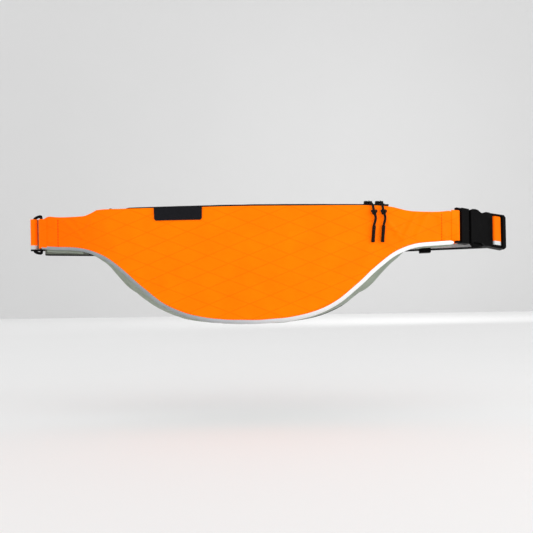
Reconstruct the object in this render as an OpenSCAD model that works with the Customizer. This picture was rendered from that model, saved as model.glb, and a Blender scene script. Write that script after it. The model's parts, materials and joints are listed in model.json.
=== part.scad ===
// Waist pack: a shallow curved bag on a two-winged hip belt, closed by a side-release buckle.
// +X is the wearer-facing viewer's right, -Y is the front, +Z is up, and the back panel lies on Y = 0.

/* [Bag] */
// Half width of the bag, from its centre to where it runs out into a wing
bag_half_w = 190; // [170:1:215]
// How far the bag hangs below the wings' lower edge
pouch_drop = 96; // [75:1:120]
// Depth of the bag, from the back panel's rear face to the foremost point of the front
bag_depth = 55; // [45:1:70]
// Height of the front's top edge above the belt line
top_rise = 31; // [27:0.5:36]
// Radius of the front's curve, seen from above
front_r = 1370; // [1100:10:1800]
// Thickness of the laminate front
shell_t = 1.5; // [1:0.1:2.5]
// Half width of the back panel's flat middle
back_flat = 130; // [100:1:145]
// Thickness of the back panel's spacer mesh
mesh_t = 1.5; // [1:0.1:3]
// Thickness of the back panel's foam
foam_t = 3; // [2:0.5:6]
// Thickness of the lining and of the inner pocket's cloth
lining_t = 0.8; // [0.5:0.1:1.5]
// Thickness of the gusset's laminate
gusset_t = 1.2; // [0.8:0.1:2]
// How far the back panel stands out past the front's lower edge at the bag's middle
back_grow = 3; // [1:0.5:5]
// How much further it stands out along the slanting sides
side_grow = 12; // [6:1:18]

/* [Wings] */
// Distance from the centre to each wing's end bar
wing_end = 268; // [255:1:310]
// Height of a wing's top edge above the belt line
wing_top = 22.5; // [20:0.5:25]
// Depth of a wing's lower edge below the belt line
wing_low = 17; // [15:0.5:20]
// Thickness of a wing's padded back
wing_pad_t = 3.5; // [2:0.5:6]
// Width of the reflective edge strip
edge_h = 5; // [3:0.5:8]
// Thickness of the reflective edge strip
edge_t = 2.7; // [2:0.1:4]

/* [Zip] */
// Half length of the zip, to its end stops
zip_half = 175; // [150:1:190]
// Width of one half of the coil
coil_w = 2.4; // [2:0.1:3]
// Thickness of the coil
coil_t = 1.4; // [1.2:0.1:2]
// Thickness of the zip tape
tape_t = 0.6; // [0.4:0.1:0.8]
// Length of a slider
slider_l = 12.2; // [9:0.1:14.7]
// Gap between the two sliders, parked side by side
slider_gap = 2.4; // [1.2:0.1:20]
// Play between the right slider and the zip's end stop
slider_play = 1.9; // [1:0.1:4]
// Diameter of a pull cord
cord_d = 1.6; // [1.2:0.1:2]
// Length of a pull's end sleeve
sleeve_l = 21.5; // [12:0.5:26]
// Diameter of a pull's end sleeve
sleeve_d = 4.6; // [4:0.1:5.6]
// Width of the label patch
label_w = 58; // [40:1:80]
// Height of the label patch
label_h = 16; // [10:1:20]

/* [Belt] */
// Width of the webbing
strap_w = 41; // [34:1:50]
// Thickness of the webbing
strap_t = 1.6; // [1.2:0.01:2]
// Distance of the strap behind the back panel, at the centre
waist_gap = 34; // [26:1:60]
// Turn of the buckle backwards from the X axis, in degrees
buckle_turn = 25; // [18:1:32]
// Dip of the buckle's outer end, in degrees
buckle_dip = 6; // [0:1:8]
// Droop of the webbing's legs from the buckle, in degrees
leg_droop = 3.5; // [0:0.1:4]
// Backward lean of the buckle's top, in degrees
buckle_lean = 7; // [0:1:9]
// Height of the right end bar's middle above the belt line
buckle_z = 5.3; // [2:0.1:7]
// Width of the buckle past the webbing on each side
buckle_rim = 2.75; // [2.7:0.05:5]
// Length of the keeper
keeper_l = 15; // [8:1:18]

/* [Hidden] */
$fn = 64;
arc_fn = 256;

orange = "#ff8000";
black = "#1a1a1c";
sage = "#8a9a86";
silver = "#d4d6d8";

fit = 0.4;         // gap between a moving piece and what it runs on
sew_gap = 0.3;     // gap between the gusset's cut edges and the panels they are sewn to
back_t = mesh_t + foam_t + lining_t;
arc_y = front_r - bag_depth;             // Y of the front curve's centre
back_end = bag_half_w + 22;              // where the back panel's flaps meet the wings
flap_y = front_y(back_end) + shell_t + back_t + 2;  // Y of a flap's rear face at its end

// Plan and outline curves
function front_y(x) = arc_y - sqrt(front_r * front_r - x * x);
function back_y(x) = abs(x) <= back_flat ? 0 : flap_y * (abs(x) - back_flat) / (back_end - back_flat);
function smooth(t) = let (c = min(1, max(0, t))) c * c * (3 - 2 * c);
function catmull(a, b, c, d, t) =
  0.5 * (2 * b + t * (c - a) + t * t * (2 * a - 5 * b + 4 * c - d) + t * t * t * (3 * b - a - 3 * c + d));
function curve(p, steps) = let (n = len(p) - 1) concat(
  [for (i = [0:n - 1], k = [0:steps - 1])
    catmull(p[max(0, i - 1)], p[i], p[i + 1], p[min(n, i + 2)], k / steps)], [p[n]]);
function reversed(p) = [for (i = [len(p) - 1:-1:0]) p[i]];
function both_sides(p) = concat([for (i = [len(p) - 1:-1:1]) [-p[i][0], p[i][1]]], p);
// Unit normal of a path at point i, on the side that lies right of its direction
function normal(p, i) =
  let (d = p[min(len(p) - 1, i + 1)] - p[max(0, i - 1)], l = norm(d)) [d[1] / l, -d[0] / l];
function beside(p, by) = [for (i = [0:len(p) - 1]) p[i] + by * normal(p, i)];
function up_to(p, x) = [for (q = p) if (abs(q[0]) <= x) q];

// Lower edge of the front, from the centre: share of the bag's half width, share of its drop
pouch_shape = [
  [0, 1], [0.12, 0.994], [0.23, 0.977], [0.34, 0.943], [0.43, 0.896], [0.52, 0.823], [0.6, 0.73],
  [0.68, 0.6], [0.75, 0.485], [0.81, 0.37], [0.88, 0.255], [0.94, 0.165], [1, 0.1], [1.08, 0.04],
  [1.16, 0.01]
];
// Upper edge: share of the half width, share of the step from the bag's top down to the wing
shoulder_shape = [
  [0, 0], [0.4, 0.05], [0.75, 0.04], [0.88, 0.12], [0.95, 0.26], [0.99, 0.45], [1.03, 0.7],
  [1.08, 0.9], [1.16, 1]
];
wing_flare = 2;    // the wings widen by this at their ends
sheet_end = wing_end - 3.4;
trim_end = sheet_end - 2;   // the edge strip and the padding stop short of the end loops
corner_l = 5.6;             // the wings' top corners are cut off
corner_h = 4.4;
lower_half = curve(concat(
  [for (s = pouch_shape) [s[0] * bag_half_w, -wing_low - s[1] * pouch_drop]],
  [[wing_end - 24, -wing_low + 0.5], [sheet_end, -wing_low + wing_flare]]), 2);
upper_half = curve(concat(
  [for (s = shoulder_shape) [s[0] * bag_half_w, top_rise - s[1] * (top_rise - wing_top)]],
  [[wing_end - 24, wing_top], [sheet_end - corner_l, wing_top + wing_flare]]), 2);
lower = both_sides(lower_half);
upper = both_sides(concat(upper_half, [[sheet_end, wing_top + wing_flare - corner_h]]));

// The back panel's lower edge stands out past the front's, most along the slanting sides
grow_end = bag_half_w - 10;
function grow_at(p, i) =
  back_grow + side_grow * abs(normal(p, i)[0]) * (1 - smooth((abs(p[i][0]) - grow_end + 35) / 35));
lower_bag = up_to(lower, back_end - 2);
back_lower = [for (i = [0:len(lower_bag) - 1]) lower_bag[i] + grow_at(lower_bag, i) * normal(lower_bag, i)];
back_drop = 1;     // the back panel's top edge sits this far below the front's
back_upper = [for (q = up_to(upper, back_end - 2)) [q[0], q[1] - back_drop]];

// Zip heights
tape_z = top_rise - 1.4;
coil_z = tape_z + tape_t;
tape_stand = 1.2;  // the front tape stands this far above the front's top edge
coil_gap = 0.7;    // half the gap between the coil's halves, where a slider's post runs
tape_w = 6;        // width of the rear tape past the centre line
zip_stop_l = 3;
plate_t = 0.95;    // thickness of a slider's plates
plate_z = coil_z + coil_t + fit;
slider_w = 2 * (coil_gap + coil_w + fit + 1.2);
slider_clear = 0.7;      // gap between a slider and the front's tape
zip_in = shell_t + tape_t + slider_clear + slider_w / 2;   // the zip's centre line behind the front
slider_right_x = zip_half - slider_play - slider_l / 2;
slider_left_x = slider_right_x - slider_gap - slider_l;
bar_z = plate_z + plate_t + 2.3;
bar_r = 0.7;
eye_r = 1.9;

// A pull cord's route in its slider's frame: along the zip, inward from the front, height
cord_route = [
  [1.5, 5.8, 35.2], [1.5, 4.4, 35.4], [1.6, 2.8, 35.3], [1.8, 1.2, 34.7], [2, -0.4, 33.5],
  [2.1, -1.7, 31.8], [2.2, -2.8, 29.6], [2.4, -3.4, 27], [2.8, -3.8, 24.2], [3.3, -4, 21.6],
  [4.2, -4.1, 18.8], [5, -4.1, 15.6], [5, -4.1, 12.4], [4.3, -4, 9.2], [3.5, -4, 6.8], [3.1, -4, 5]
];
knot_at = cord_route[9];
cord_end = cord_route[len(cord_route) - 1];
sleeve_tilt = 5;             // the end sleeves hang a little askew
crown_at = [0, 7.5, 35.2];   // the slider's crown bar, in the same frame
knot_r = 2.9;

// Buckle, in its own frame: x along it from the end bar, y backwards, z up
bar_d = 3.6;           // webbing and end bars
sleeve_wall = 1.4;     // cloth loop round an end bar
rail_h = 2.7;
base_x0 = bar_d / 2 + fit + sleeve_wall + 0.8;
base_x1 = 16.2;
base_t = 9;
guide_half = 4;
guide_x1 = 46;
shell_x0 = 18;
window_x0 = 21.4;
window_x1 = 41.5;
socket_x1 = 51;
mid_bar_x = 65;
mid_bar_half = 4.8;    // half width of the flat middle bar
mid_bar_t = 2.4;
wrap_half = mid_bar_half + fit + strap_t;   // half width of the webbing round that bar
block_x1 = mid_bar_x - wrap_half - 3.2;
end_bar_x0 = mid_bar_x + wrap_half + 0.6;
end_bar_x1 = end_bar_x0 + 5.3;
female_t = 13;
neck_t = 9.6;          // thickness of the buckle's webbing end
plate_gap = 6.4;       // clear height of the socket, front to back
wall_t = 2.2;          // socket's side walls
arm_t = 4.6;
slot_half = strap_w / 2 + 2 * fit;
buckle_half = strap_w / 2 + buckle_rim;
leg_turn = -3;         // the strap's two legs, seen from above
leg_a_y = 2.2;
leg_gap = 0.3;
leg_b_y = leg_a_y + strap_t + leg_gap;
leg_l = 133;
tail_l = 118;
hem_l = 6;
keeper_x = -102;
keeper_wall = 1.6;

// Ladder lock, in its own frame: x outwards from the wing's end bar
ladder_turn = 30;
ladder_z = 1;
ladder_pitch = 13;
outer_bar_r = 2.4;
ladder_half = strap_w / 2 + 4.5;
ladder_rail_h = 3.8;
ladder_leg_y = 4.2;    // the strap's legs clear the wing's cloth loop by this distance from its bar

loop_room = buckle_half - rail_h - fit;
right_loop = [loop_room, loop_room - 0.5];   // a cloth loop's reach below and above its bar's middle
left_loop = [strap_w / 2 - 3, strap_w / 2 - 0.5];
tuck = 0.5;            // an end loop bulges this far in front of the wing
end_y = front_y(wing_end) + bar_d / 2 + fit + sleeve_wall - tuck;

module arc_wall(r0, r1, z0, z1, x0, x1) {
  a0 = asin(x0 / front_r);
  a1 = asin(x1 / front_r);
  translate([0, arc_y, 0]) rotate([0, 0, 270 + a0])
    rotate_extrude(angle = a1 - a0, $fn = arc_fn) translate([r0, z0]) square([r1 - r0, z1 - z0]);
}
module upright(points) {
  translate([0, 200, 0]) rotate([90, 0, 0]) linear_extrude(400) polygon(points);
}
module plan_band(d0, d1, x_end, z0, z1) {
  xs = [-x_end, -back_flat, back_flat, x_end];
  translate([0, 0, z0]) linear_extrude(z1 - z0)
    polygon(concat([for (x = xs) [x, back_y(x) - d0]], reversed([for (x = xs) [x, back_y(x) - d1]])));
}
module at_front(x) {
  translate([0, arc_y, 0]) rotate([0, 0, asin(x / front_r)]) translate([0, -front_r, 0]) children();
}
module at_buckle() {
  translate([wing_end, end_y, buckle_z]) rotate([-buckle_lean, buckle_dip, buckle_turn]) children();
}
module at_legs() {
  at_buckle() translate([mid_bar_x, 0, 0]) rotate([0, -leg_droop, leg_turn - buckle_turn]) children();
}
module at_ladder() {
  translate([-wing_end, end_y, ladder_z]) rotate([0, 0, 180 - ladder_turn]) children();
}
module block(x0, x1, y0, y1, z0, z1) {
  translate([x0, y0, z0]) cube([x1 - x0, y1 - y0, z1 - z0]);
}
module bar(x, r, z0, z1) {
  translate([x, 0, z0]) cylinder(r = r, h = z1 - z0);
}
module loop_tube(r, wall, z0, z1) {
  translate([0, 0, z0]) difference() {
    cylinder(r = r + wall, h = z1 - z0);
    translate([0, 0, -1]) cylinder(r = r, h = z1 - z0 + 2);
  }
}
module round_ended(half, r, z0, z1) {
  translate([0, 0, z0]) linear_extrude(z1 - z0) {
    square([2 * half, 2 * r], center = true);
    for (s = [-1, 1]) translate([s * half, 0]) circle(r = r);
  }
}

// Tube of 8 sides along a list of points
function frame_x(d) = let (c = cross([1, 0, 0], d)) c / norm(c);
function tube_points(p, r, sides) = [for (i = [0:len(p) - 1])
  let (d = p[min(len(p) - 1, i + 1)] - p[max(0, i - 1)], t = d / norm(d), a = frame_x(t), b = cross(t, a))
  for (k = [0:sides - 1]) p[i] + r * (cos(360 * k / sides) * a + sin(360 * k / sides) * b)];
module tube(p, r, sides = 8) {
  n = len(p);
  polyhedron(points = tube_points(p, r, sides), faces = concat(
    [for (i = [0:n - 2], k = [0:sides - 1])
      let (a = i * sides + k, b = i * sides + (k + 1) % sides) each [[a, b + sides, b], [a, a + sides, b + sides]]],
    [[for (k = [0:sides - 1]) k]], [[for (k = [sides - 1:-1:0]) (n - 1) * sides + k]]));
}

// Bag
function end_tab(s, z, reach) = [
  [s * sheet_end, z - s * reach[s > 0 ? 0 : 1] + s], [s * wing_end, z - s * reach[s > 0 ? 0 : 1] + s],
  [s * wing_end, z + s * reach[s > 0 ? 1 : 0] - s], [s * sheet_end, z + s * reach[s > 0 ? 1 : 0] - s]
];
module front_shell() {
  outline = concat(lower, end_tab(1, buckle_z, right_loop), reversed(upper), end_tab(-1, ladder_z, left_loop));
  color(orange) difference() {
    union() {
      intersection() {
        arc_wall(front_r - shell_t, front_r, -200, 100, -wing_end - 2, wing_end + 2);
        upright(outline);
      }
      at_buckle() bar(0, bar_d / 2 + fit + sleeve_wall, -right_loop[0], right_loop[1]);
      at_ladder() bar(0, bar_d / 2 + fit + sleeve_wall, -left_loop[0], left_loop[1]);
    }
    at_buckle() bar(0, bar_d / 2 + fit, -wing_end, wing_end);
    at_ladder() bar(0, bar_d / 2 + fit, -wing_end, wing_end);
  }
}
module reflective_edge() {
  outer = beside(lower, edge_h);
  color(silver) intersection() {
    arc_wall(front_r - edge_t + 0.2, front_r + 0.2, -200, 100, -trim_end, trim_end);
    upright(concat(outer, reversed(lower)));
  }
}
module wing_back(side) {
  wing_lower = beside(lower, edge_h + 1.5);
  wing_upper = [for (q = upper) [q[0], q[1] - back_drop]];
  inner = back_end + 1;
  color(sage) intersection() {
    arc_wall(front_r - edge_t - wing_pad_t, front_r - edge_t, -200, 100,
      side > 0 ? inner : -trim_end, side > 0 ? trim_end : -inner);
    upright(concat(wing_lower, reversed(wing_upper)));
  }
}
module wing_back_left() { wing_back(-1); }
module wing_back_right() { wing_back(1); }
module bottom_gusset() {
  start = beside(lower_bag, edge_h * 0.5);
  n = len(lower_bag);
  function section(i) = let (a = start[i], b = back_lower[i], m = -gusset_t * normal(lower_bag, i),
    ya = front_y(a[0]) + edge_t + sew_gap, yb = back_y(b[0]) - back_t - sew_gap)
    [[a[0], ya, a[1]], [b[0], yb, b[1]], [b[0] + m[0], yb, b[1] + m[1]], [a[0] + m[0], ya, a[1] + m[1]]];
  color(sage) polyhedron(
    points = [for (i = [0:n - 1]) each section(i)],
    faces = concat(
      [for (i = [0:n - 2], k = [0:3]) let (a = 4 * i + k, b = 4 * i + (k + 1) % 4)
        each [[a, b, b + 4], [a, b + 4, a + 4]]],
      [[3, 2, 1, 0]], [[for (k = [0:3]) 4 * (n - 1) + k]]));
}
module back_layer(d0, d1) {
  intersection() {
    plan_band(d0, d1, back_end, -200, 100);
    upright(concat(back_lower, reversed(back_upper)));
  }
}
module back_mesh() { color(black) back_layer(0, mesh_t); }
module back_foam() { color("#3a3c3e") back_layer(mesh_t, mesh_t + foam_t); }
module back_lining() { color(sage) back_layer(mesh_t + foam_t, back_t); }
module back_binding() {
  binding_w = 1.8;
  color(black) intersection() {
    plan_band(0.3, back_t, back_end, -200, 100);
    upright(concat(beside(back_lower, binding_w), reversed(back_lower)));
  }
}
module top_panel() {
  end_x = zip_half + zip_stop_l;
  xs = [for (i = [-12:12]) end_x * i / 12];
  panel_t = 1.2;
  r = front_r - zip_in - tape_w;
  color(sage) translate([0, 0, tape_z - 0.6]) linear_extrude(panel_t) polygon(concat(
    [for (x = xs) let (a = asin(x / front_r)) [r * sin(a), arc_y - r * cos(a)]],
    reversed([for (x = concat([-end_x], [-back_flat], [back_flat], [end_x])) [x, back_y(x) - back_t]])));
}
module inner_pocket() {
  pocket_half = 80;
  pocket_gap = 6;
  bottom = -pouch_drop + 11;
  top = -5;
  y0 = -back_t;
  color(sage) difference() {
    block(-pocket_half, pocket_half, y0 - pocket_gap - lining_t, y0, bottom, top);
    block(-pocket_half + lining_t, pocket_half - lining_t, y0 - pocket_gap, y0 + 1, bottom + lining_t, top + 1);
  }
}
module label_patch() {
  label_t = 0.6;
  right = -60;
  left = right - label_w;
  high = top_rise - 0.3;
  low = high - label_h;
  c = 3;
  color(black) intersection() {
    arc_wall(front_r, front_r + label_t, -50, 60, left - 5, right + 5);
    upright([[left + 1, high], [left, low + c], [left + c, low], [right - c, low - 0.5],
      [right + 0.5, low + c], [right + 1, high]]);
  }
}

// Zip
module zip_tape_front() {
  color(black) union() {
    arc_wall(front_r - zip_in + coil_gap, front_r - shell_t, tape_z, coil_z, -zip_half - zip_stop_l,
      zip_half + zip_stop_l);
    arc_wall(front_r - shell_t - tape_t, front_r - shell_t, tape_z, top_rise + tape_stand,
      -zip_half - zip_stop_l, zip_half + zip_stop_l);
  }
}
module zip_tape_rear() {
  color(black) arc_wall(front_r - zip_in - tape_w, front_r - zip_in - coil_gap, tape_z, coil_z,
    -zip_half - zip_stop_l, zip_half + zip_stop_l);
}
module zip_coil(side) {
  middle = front_r - zip_in;
  r0 = side > 0 ? middle + coil_gap : middle - coil_gap - coil_w;
  color(black) arc_wall(r0, r0 + coil_w, coil_z, coil_z + coil_t, -zip_half, zip_half);
}
module zip_coil_front() { zip_coil(1); }
module zip_coil_rear() { zip_coil(-1); }
module zip_stops() {
  half = coil_gap + coil_w;
  color(black) for (s = [-1, 1]) at_front(s * (zip_half + zip_stop_l / 2 + 0.1))
    block(-zip_stop_l / 2, zip_stop_l / 2, zip_in - half, zip_in + half, coil_z, coil_z + coil_t + 0.6);
}
module zip_slider(x) {
  l = slider_l / 2;
  w = slider_w / 2;
  flange = 1.2;
  leg_in = 2.9;
  color(black) at_front(x) translate([0, zip_in, 0]) union() {
    block(-l, l, -w, w, plate_z, plate_z + plate_t);
    block(-l, l, -w, w, tape_z - fit - plate_t, tape_z - fit);
    block(-1.5, 1.5, -coil_gap + 0.35, coil_gap - 0.35, tape_z - fit - 0.1, plate_z + 0.1);
    for (s = [-1, 1]) {
      block(-l, l, s > 0 ? w - flange : -w, s > 0 ? w : -w + flange, coil_z + fit, plate_z + 0.1);
      block(s > 0 ? leg_in : -leg_in - 1.3, s > 0 ? leg_in + 1.3 : -leg_in, -1.1, 1.1,
        plate_z + plate_t - 0.1, bar_z + bar_r + 0.2);
    }
    translate([-leg_in - 0.5, 0, bar_z]) rotate([0, 90, 0]) cylinder(r = bar_r, h = 2 * leg_in + 1);
  }
}
module zip_slider_left() { zip_slider(slider_left_x); }
module zip_slider_right() { zip_slider(slider_right_x); }
module at_pull(x) {
  at_front(x) translate([0, zip_in, bar_z] - crown_at) children();
}
// Below its slider a pull hangs this far aside of the route
pull_left_aside = 1.9;
pull_right_aside = -0.5;
function moved(p, aside) = [p[0] + aside * smooth((35 - p[2]) / 6), p[1], p[2]];
module pull_cord(x, aside) {
  color(black) at_pull(x) tube(curve([for (p = cord_route) moved(p, aside)], 2), cord_d / 2);
}
module pull_cord_left() { pull_cord(slider_left_x, pull_left_aside); }
module pull_cord_right() { pull_cord(slider_right_x, pull_right_aside); }
module pull_tie(x, aside) {
  color(black) at_pull(x) {
    translate(crown_at + [0.7, 0, 0]) rotate([0, 90, 0]) loop_tube(bar_r + 0.35, eye_r - bar_r - 0.35, 0, cord_d);
    translate(moved(knot_at, aside)) sphere(r = knot_r);
  }
}
module pull_tie_left() { pull_tie(slider_left_x, pull_left_aside); }
module pull_tie_right() { pull_tie(slider_right_x, pull_right_aside); }
module pull_sleeve(x, aside) {
  color(black) at_pull(x) translate(moved(cord_end, aside)) rotate([0, sleeve_tilt, 0])
    translate([0, 0, -sleeve_l - 0.25]) cylinder(d = sleeve_d, h = sleeve_l);
}
module pull_sleeve_left() { pull_sleeve(slider_left_x, pull_left_aside); }
module pull_sleeve_right() { pull_sleeve(slider_right_x, pull_right_aside); }

// Buckle
module male_buckle() {
  color(black) at_buckle() union() {
    bar(0, bar_d / 2, -buckle_half + 1, buckle_half - 1);
    for (s = [-1, 1]) translate([0, 0, s * (buckle_half - rail_h / 2)])
      block(-bar_d / 2 - 0.4, base_x0 + 1, -2.2, 2.2, -rail_h / 2, rail_h / 2);
    block(base_x0, base_x1, -base_t / 2, base_t / 2, -buckle_half, buckle_half);
    block(base_x1 - 1, guide_x1, -1.6, 1.6, -guide_half, guide_half);
  }
}
// One sprung arm: along the buckle, and outwards from its side
arm_outline = [
  [base_x1 + 0.35, -10.25], [base_x1 + 0.35, -5.25], [19, -4.65], [21.2, -3.85], [22.2, -0.75], [24.5, 1.35],
  [29, 2.15], [34, 1.35], [38.5, -1.25], [41, -3.65], [45, -4.65], [48.2, -6.75], [48.6, -8.25], [45, -9.75],
  [39, -7.75], [34, -5.25], [28, -5.25], [23, -7.75], [19.5, -10.25]
];
module buckle_arm(side) {
  color(black) at_buckle() mirror([0, 0, side > 0 ? 0 : 1]) translate([0, arm_t / 2, buckle_half])
    rotate([90, 0, 0]) linear_extrude(arm_t) polygon(arm_outline);
}
module buckle_arm_top() { buckle_arm(1); }
module buckle_arm_bottom() { buckle_arm(-1); }
module female_buckle() {
  half_t = female_t / 2;
  side_half = buckle_half - 0.8;
  waist_half = buckle_half - 3;    // the sides draw in where the arms' pads stand out
  side_outline = [[shell_x0, side_half], [shell_x0, -side_half], [window_x0 + 4, -waist_half],
    [window_x1 - 5, -waist_half], [window_x1 + 1, -side_half], [end_bar_x1 - 3, -buckle_half],
    [end_bar_x1, -buckle_half + 3], [end_bar_x1, buckle_half - 3], [end_bar_x1 - 3, buckle_half],
    [window_x1 + 1, side_half], [window_x1 - 5, waist_half], [window_x0 + 4, waist_half]];
  color(black) at_buckle() union() {
    difference() {
      translate([0, half_t, 0]) rotate([90, 0, 0]) linear_extrude(female_t) polygon(side_outline);
      block(shell_x0 - 1, socket_x1, -plate_gap / 2, plate_gap / 2, -side_half + wall_t, side_half - wall_t);
      block(window_x0, window_x1, -plate_gap / 2, plate_gap / 2, -buckle_half - 2, buckle_half + 2);
      block(block_x1, end_bar_x0, -half_t - 1, half_t + 1, -slot_half, slot_half);
      for (s = [-1, 1]) block(block_x1 - 6, end_bar_x1 + 1, s > 0 ? neck_t / 2 : -half_t - 1,
        s > 0 ? half_t + 1 : -neck_t / 2, -buckle_half - 2, buckle_half + 2);
    }
    translate([mid_bar_x, 0, 0])
      round_ended(mid_bar_half - mid_bar_t / 2, mid_bar_t / 2, -slot_half - 0.5, slot_half + 0.5);
  }
}

// Strap
module leg(x0, x1, y) {
  block(x0, x1, y, y + strap_t, -strap_w / 2, strap_w / 2);
}
module strap_buckle_end() {
  half = mid_bar_half - mid_bar_t / 2;
  r = mid_bar_t / 2 + fit;
  color(orange) union() {
    at_buckle() translate([mid_bar_x, 0, 0]) difference() {
      round_ended(half, r + strap_t, -strap_w / 2, strap_w / 2);
      round_ended(half, r, -strap_w / 2 - 1, strap_w / 2 + 1);
    }
    at_legs() {
      leg(-tail_l, -1.2, leg_a_y);
      leg(-tail_l, -tail_l + hem_l, leg_a_y - strap_t);
      leg(-leg_l, 2.5, leg_b_y);
    }
  }
}
module strap_keeper() {
  y0 = leg_a_y - fit;
  y1 = leg_b_y + strap_t + fit;
  z = strap_w / 2 + fit;
  color(black) at_legs() difference() {
    block(keeper_x, keeper_x + keeper_l, y0 - keeper_wall, y1 + keeper_wall, -z - 2.6, z + 2.6);
    block(keeper_x - 1, keeper_x + keeper_l + 1, y0, y1, -z, z);
  }
}
// A point given in the legs' frame, in the part's frame
function leaned(p) = let (c = cos(-buckle_lean), s = sin(-buckle_lean)) [p[0], p[1] * c - p[2] * s, p[1] * s + p[2] * c];
function dipped(p, a) = [p[0] * cos(a) + p[2] * sin(a), p[1], -p[0] * sin(a) + p[2] * cos(a)];
function turned(p, a) = [p[0] * cos(a) - p[1] * sin(a), p[0] * sin(a) + p[1] * cos(a), p[2]];
function leg_point(p) = [wing_end, end_y, buckle_z]
  + turned(dipped(leaned(turned(dipped(p, -leg_droop), leg_turn - buckle_turn) + [mid_bar_x, 0, 0]), buckle_dip), buckle_turn);
leg_end = leg_point([-leg_l - 1.2, leg_b_y + strap_t / 2, 0]);
strap_z = leg_end[2];  // middle of the strap behind the bag
// Plan route of the strap behind the bag, from the keeper's side to the ladder lock
strap_route = [
  [leg_end[0], leg_end[1]], [leg_end[0] - 30, leg_end[1] + 4], [90, waist_gap - 2], [0, waist_gap],
  [-90, waist_gap - 5], [-160, waist_gap - 20], [-215, end_y + 18], [-wing_end + 9, end_y + 9]
];
module rear_strap() {
  line = curve(strap_route, 4);
  color(orange) translate([0, 0, strap_z - strap_w / 2]) linear_extrude(strap_w)
    polygon(concat(beside(line, strap_t / 2), reversed(beside(line, -strap_t / 2))));
}
module strap_ladder_end() {
  half = strap_w / 2;
  pitch = strap_t + leg_gap;
  color(orange) at_ladder() union() {
    translate([ladder_pitch, 0, 0]) loop_tube(outer_bar_r + fit, strap_t, -half, half);
    for (k = [0, 1])
      block(-1 + 3 * k, ladder_pitch, -ladder_leg_y - strap_t - k * pitch, -ladder_leg_y - k * pitch, -half, half);
    block(ladder_pitch - strap_t, ladder_pitch, -ladder_leg_y - strap_t - pitch, -ladder_leg_y, -half, half);
  }
}
module ladder_lock() {
  color(black) at_ladder() union() {
    bar(0, bar_d / 2, -ladder_half + 1, ladder_half - 1);
    bar(ladder_pitch, outer_bar_r, -ladder_half + 1, ladder_half - 1);
    for (s = [-1, 1]) translate([0, 0, s * (ladder_half - ladder_rail_h / 2)])
      block(-2.6, ladder_pitch + 3.4, -2.7, 2.7, -ladder_rail_h / 2, ladder_rail_h / 2);
  }
}

front_shell();
reflective_edge();
wing_back_left();
wing_back_right();
bottom_gusset();
back_mesh();
back_foam();
back_lining();
back_binding();
top_panel();
inner_pocket();
zip_tape_front();
zip_tape_rear();
zip_coil_front();
zip_coil_rear();
zip_stops();
zip_slider_left();
zip_slider_right();
pull_cord_left();
pull_cord_right();
pull_tie_left();
pull_tie_right();
pull_sleeve_left();
pull_sleeve_right();
label_patch();
male_buckle();
buckle_arm_top();
buckle_arm_bottom();
female_buckle();
strap_buckle_end();
strap_keeper();
rear_strap();
strap_ladder_end();
ladder_lock();
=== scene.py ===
"""A waist pack in Blender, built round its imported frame.

Run as a script. Lengths are in metres: +X is the viewer's right, -Y the front and +Z up.
"""
import json
import math

import bpy
from mathutils import Matrix, Vector, noise
from mathutils.bvhtree import BVHTree


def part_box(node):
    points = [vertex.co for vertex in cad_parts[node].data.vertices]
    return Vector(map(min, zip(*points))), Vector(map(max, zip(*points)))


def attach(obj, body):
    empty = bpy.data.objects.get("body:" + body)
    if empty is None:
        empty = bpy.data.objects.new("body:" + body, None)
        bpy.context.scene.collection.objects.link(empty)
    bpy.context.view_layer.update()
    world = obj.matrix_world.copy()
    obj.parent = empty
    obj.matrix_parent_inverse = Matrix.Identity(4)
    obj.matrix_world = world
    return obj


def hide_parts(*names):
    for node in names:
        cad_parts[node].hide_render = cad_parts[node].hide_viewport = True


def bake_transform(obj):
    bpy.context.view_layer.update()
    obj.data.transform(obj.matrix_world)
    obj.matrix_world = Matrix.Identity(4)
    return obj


bl_info = {
    "name": "Waist Pack",
    "version": (1, 0, 0),
    "blender": (4, 5, 0),
    "location": "View3D > Sidebar > Waist Pack",
    "description": "Builds a waist pack with its webbing, zip, buckle and finishes",
    "category": "Object",
}

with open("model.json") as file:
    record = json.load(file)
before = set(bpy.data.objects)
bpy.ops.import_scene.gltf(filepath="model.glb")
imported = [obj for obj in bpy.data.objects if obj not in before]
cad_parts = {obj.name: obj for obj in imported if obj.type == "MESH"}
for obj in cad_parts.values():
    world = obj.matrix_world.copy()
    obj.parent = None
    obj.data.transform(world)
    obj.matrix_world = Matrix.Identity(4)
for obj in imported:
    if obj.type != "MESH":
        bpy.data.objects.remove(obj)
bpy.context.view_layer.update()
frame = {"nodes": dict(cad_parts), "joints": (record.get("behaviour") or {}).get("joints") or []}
MM = 0.001
JOINTS = {j["name"]: j for j in frame["joints"]}

# The front is an arc seen from above, and every zip part is concentric with it.
ARC_Y = JOINTS["zip_left"]["pos_m"][1]
FRONT_R = ARC_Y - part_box("front_shell")[0].y


# ---------------------------------------------------------------- places taken from the frame
def unit(v):
    return Vector(v).normalized()


def columns_matrix(x, y, z, origin):
    """The matrix of a local frame with these axes and this origin."""
    return Matrix([[x[i], y[i], z[i], origin[i]] for i in range(3)] + [[0, 0, 0, 1]])


def frame_matrix(origin, x, y):
    """A local frame with axes x and y, as a matrix."""
    x, y = unit(x), unit(y)
    return columns_matrix(x, y, x.cross(y), origin)


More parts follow.
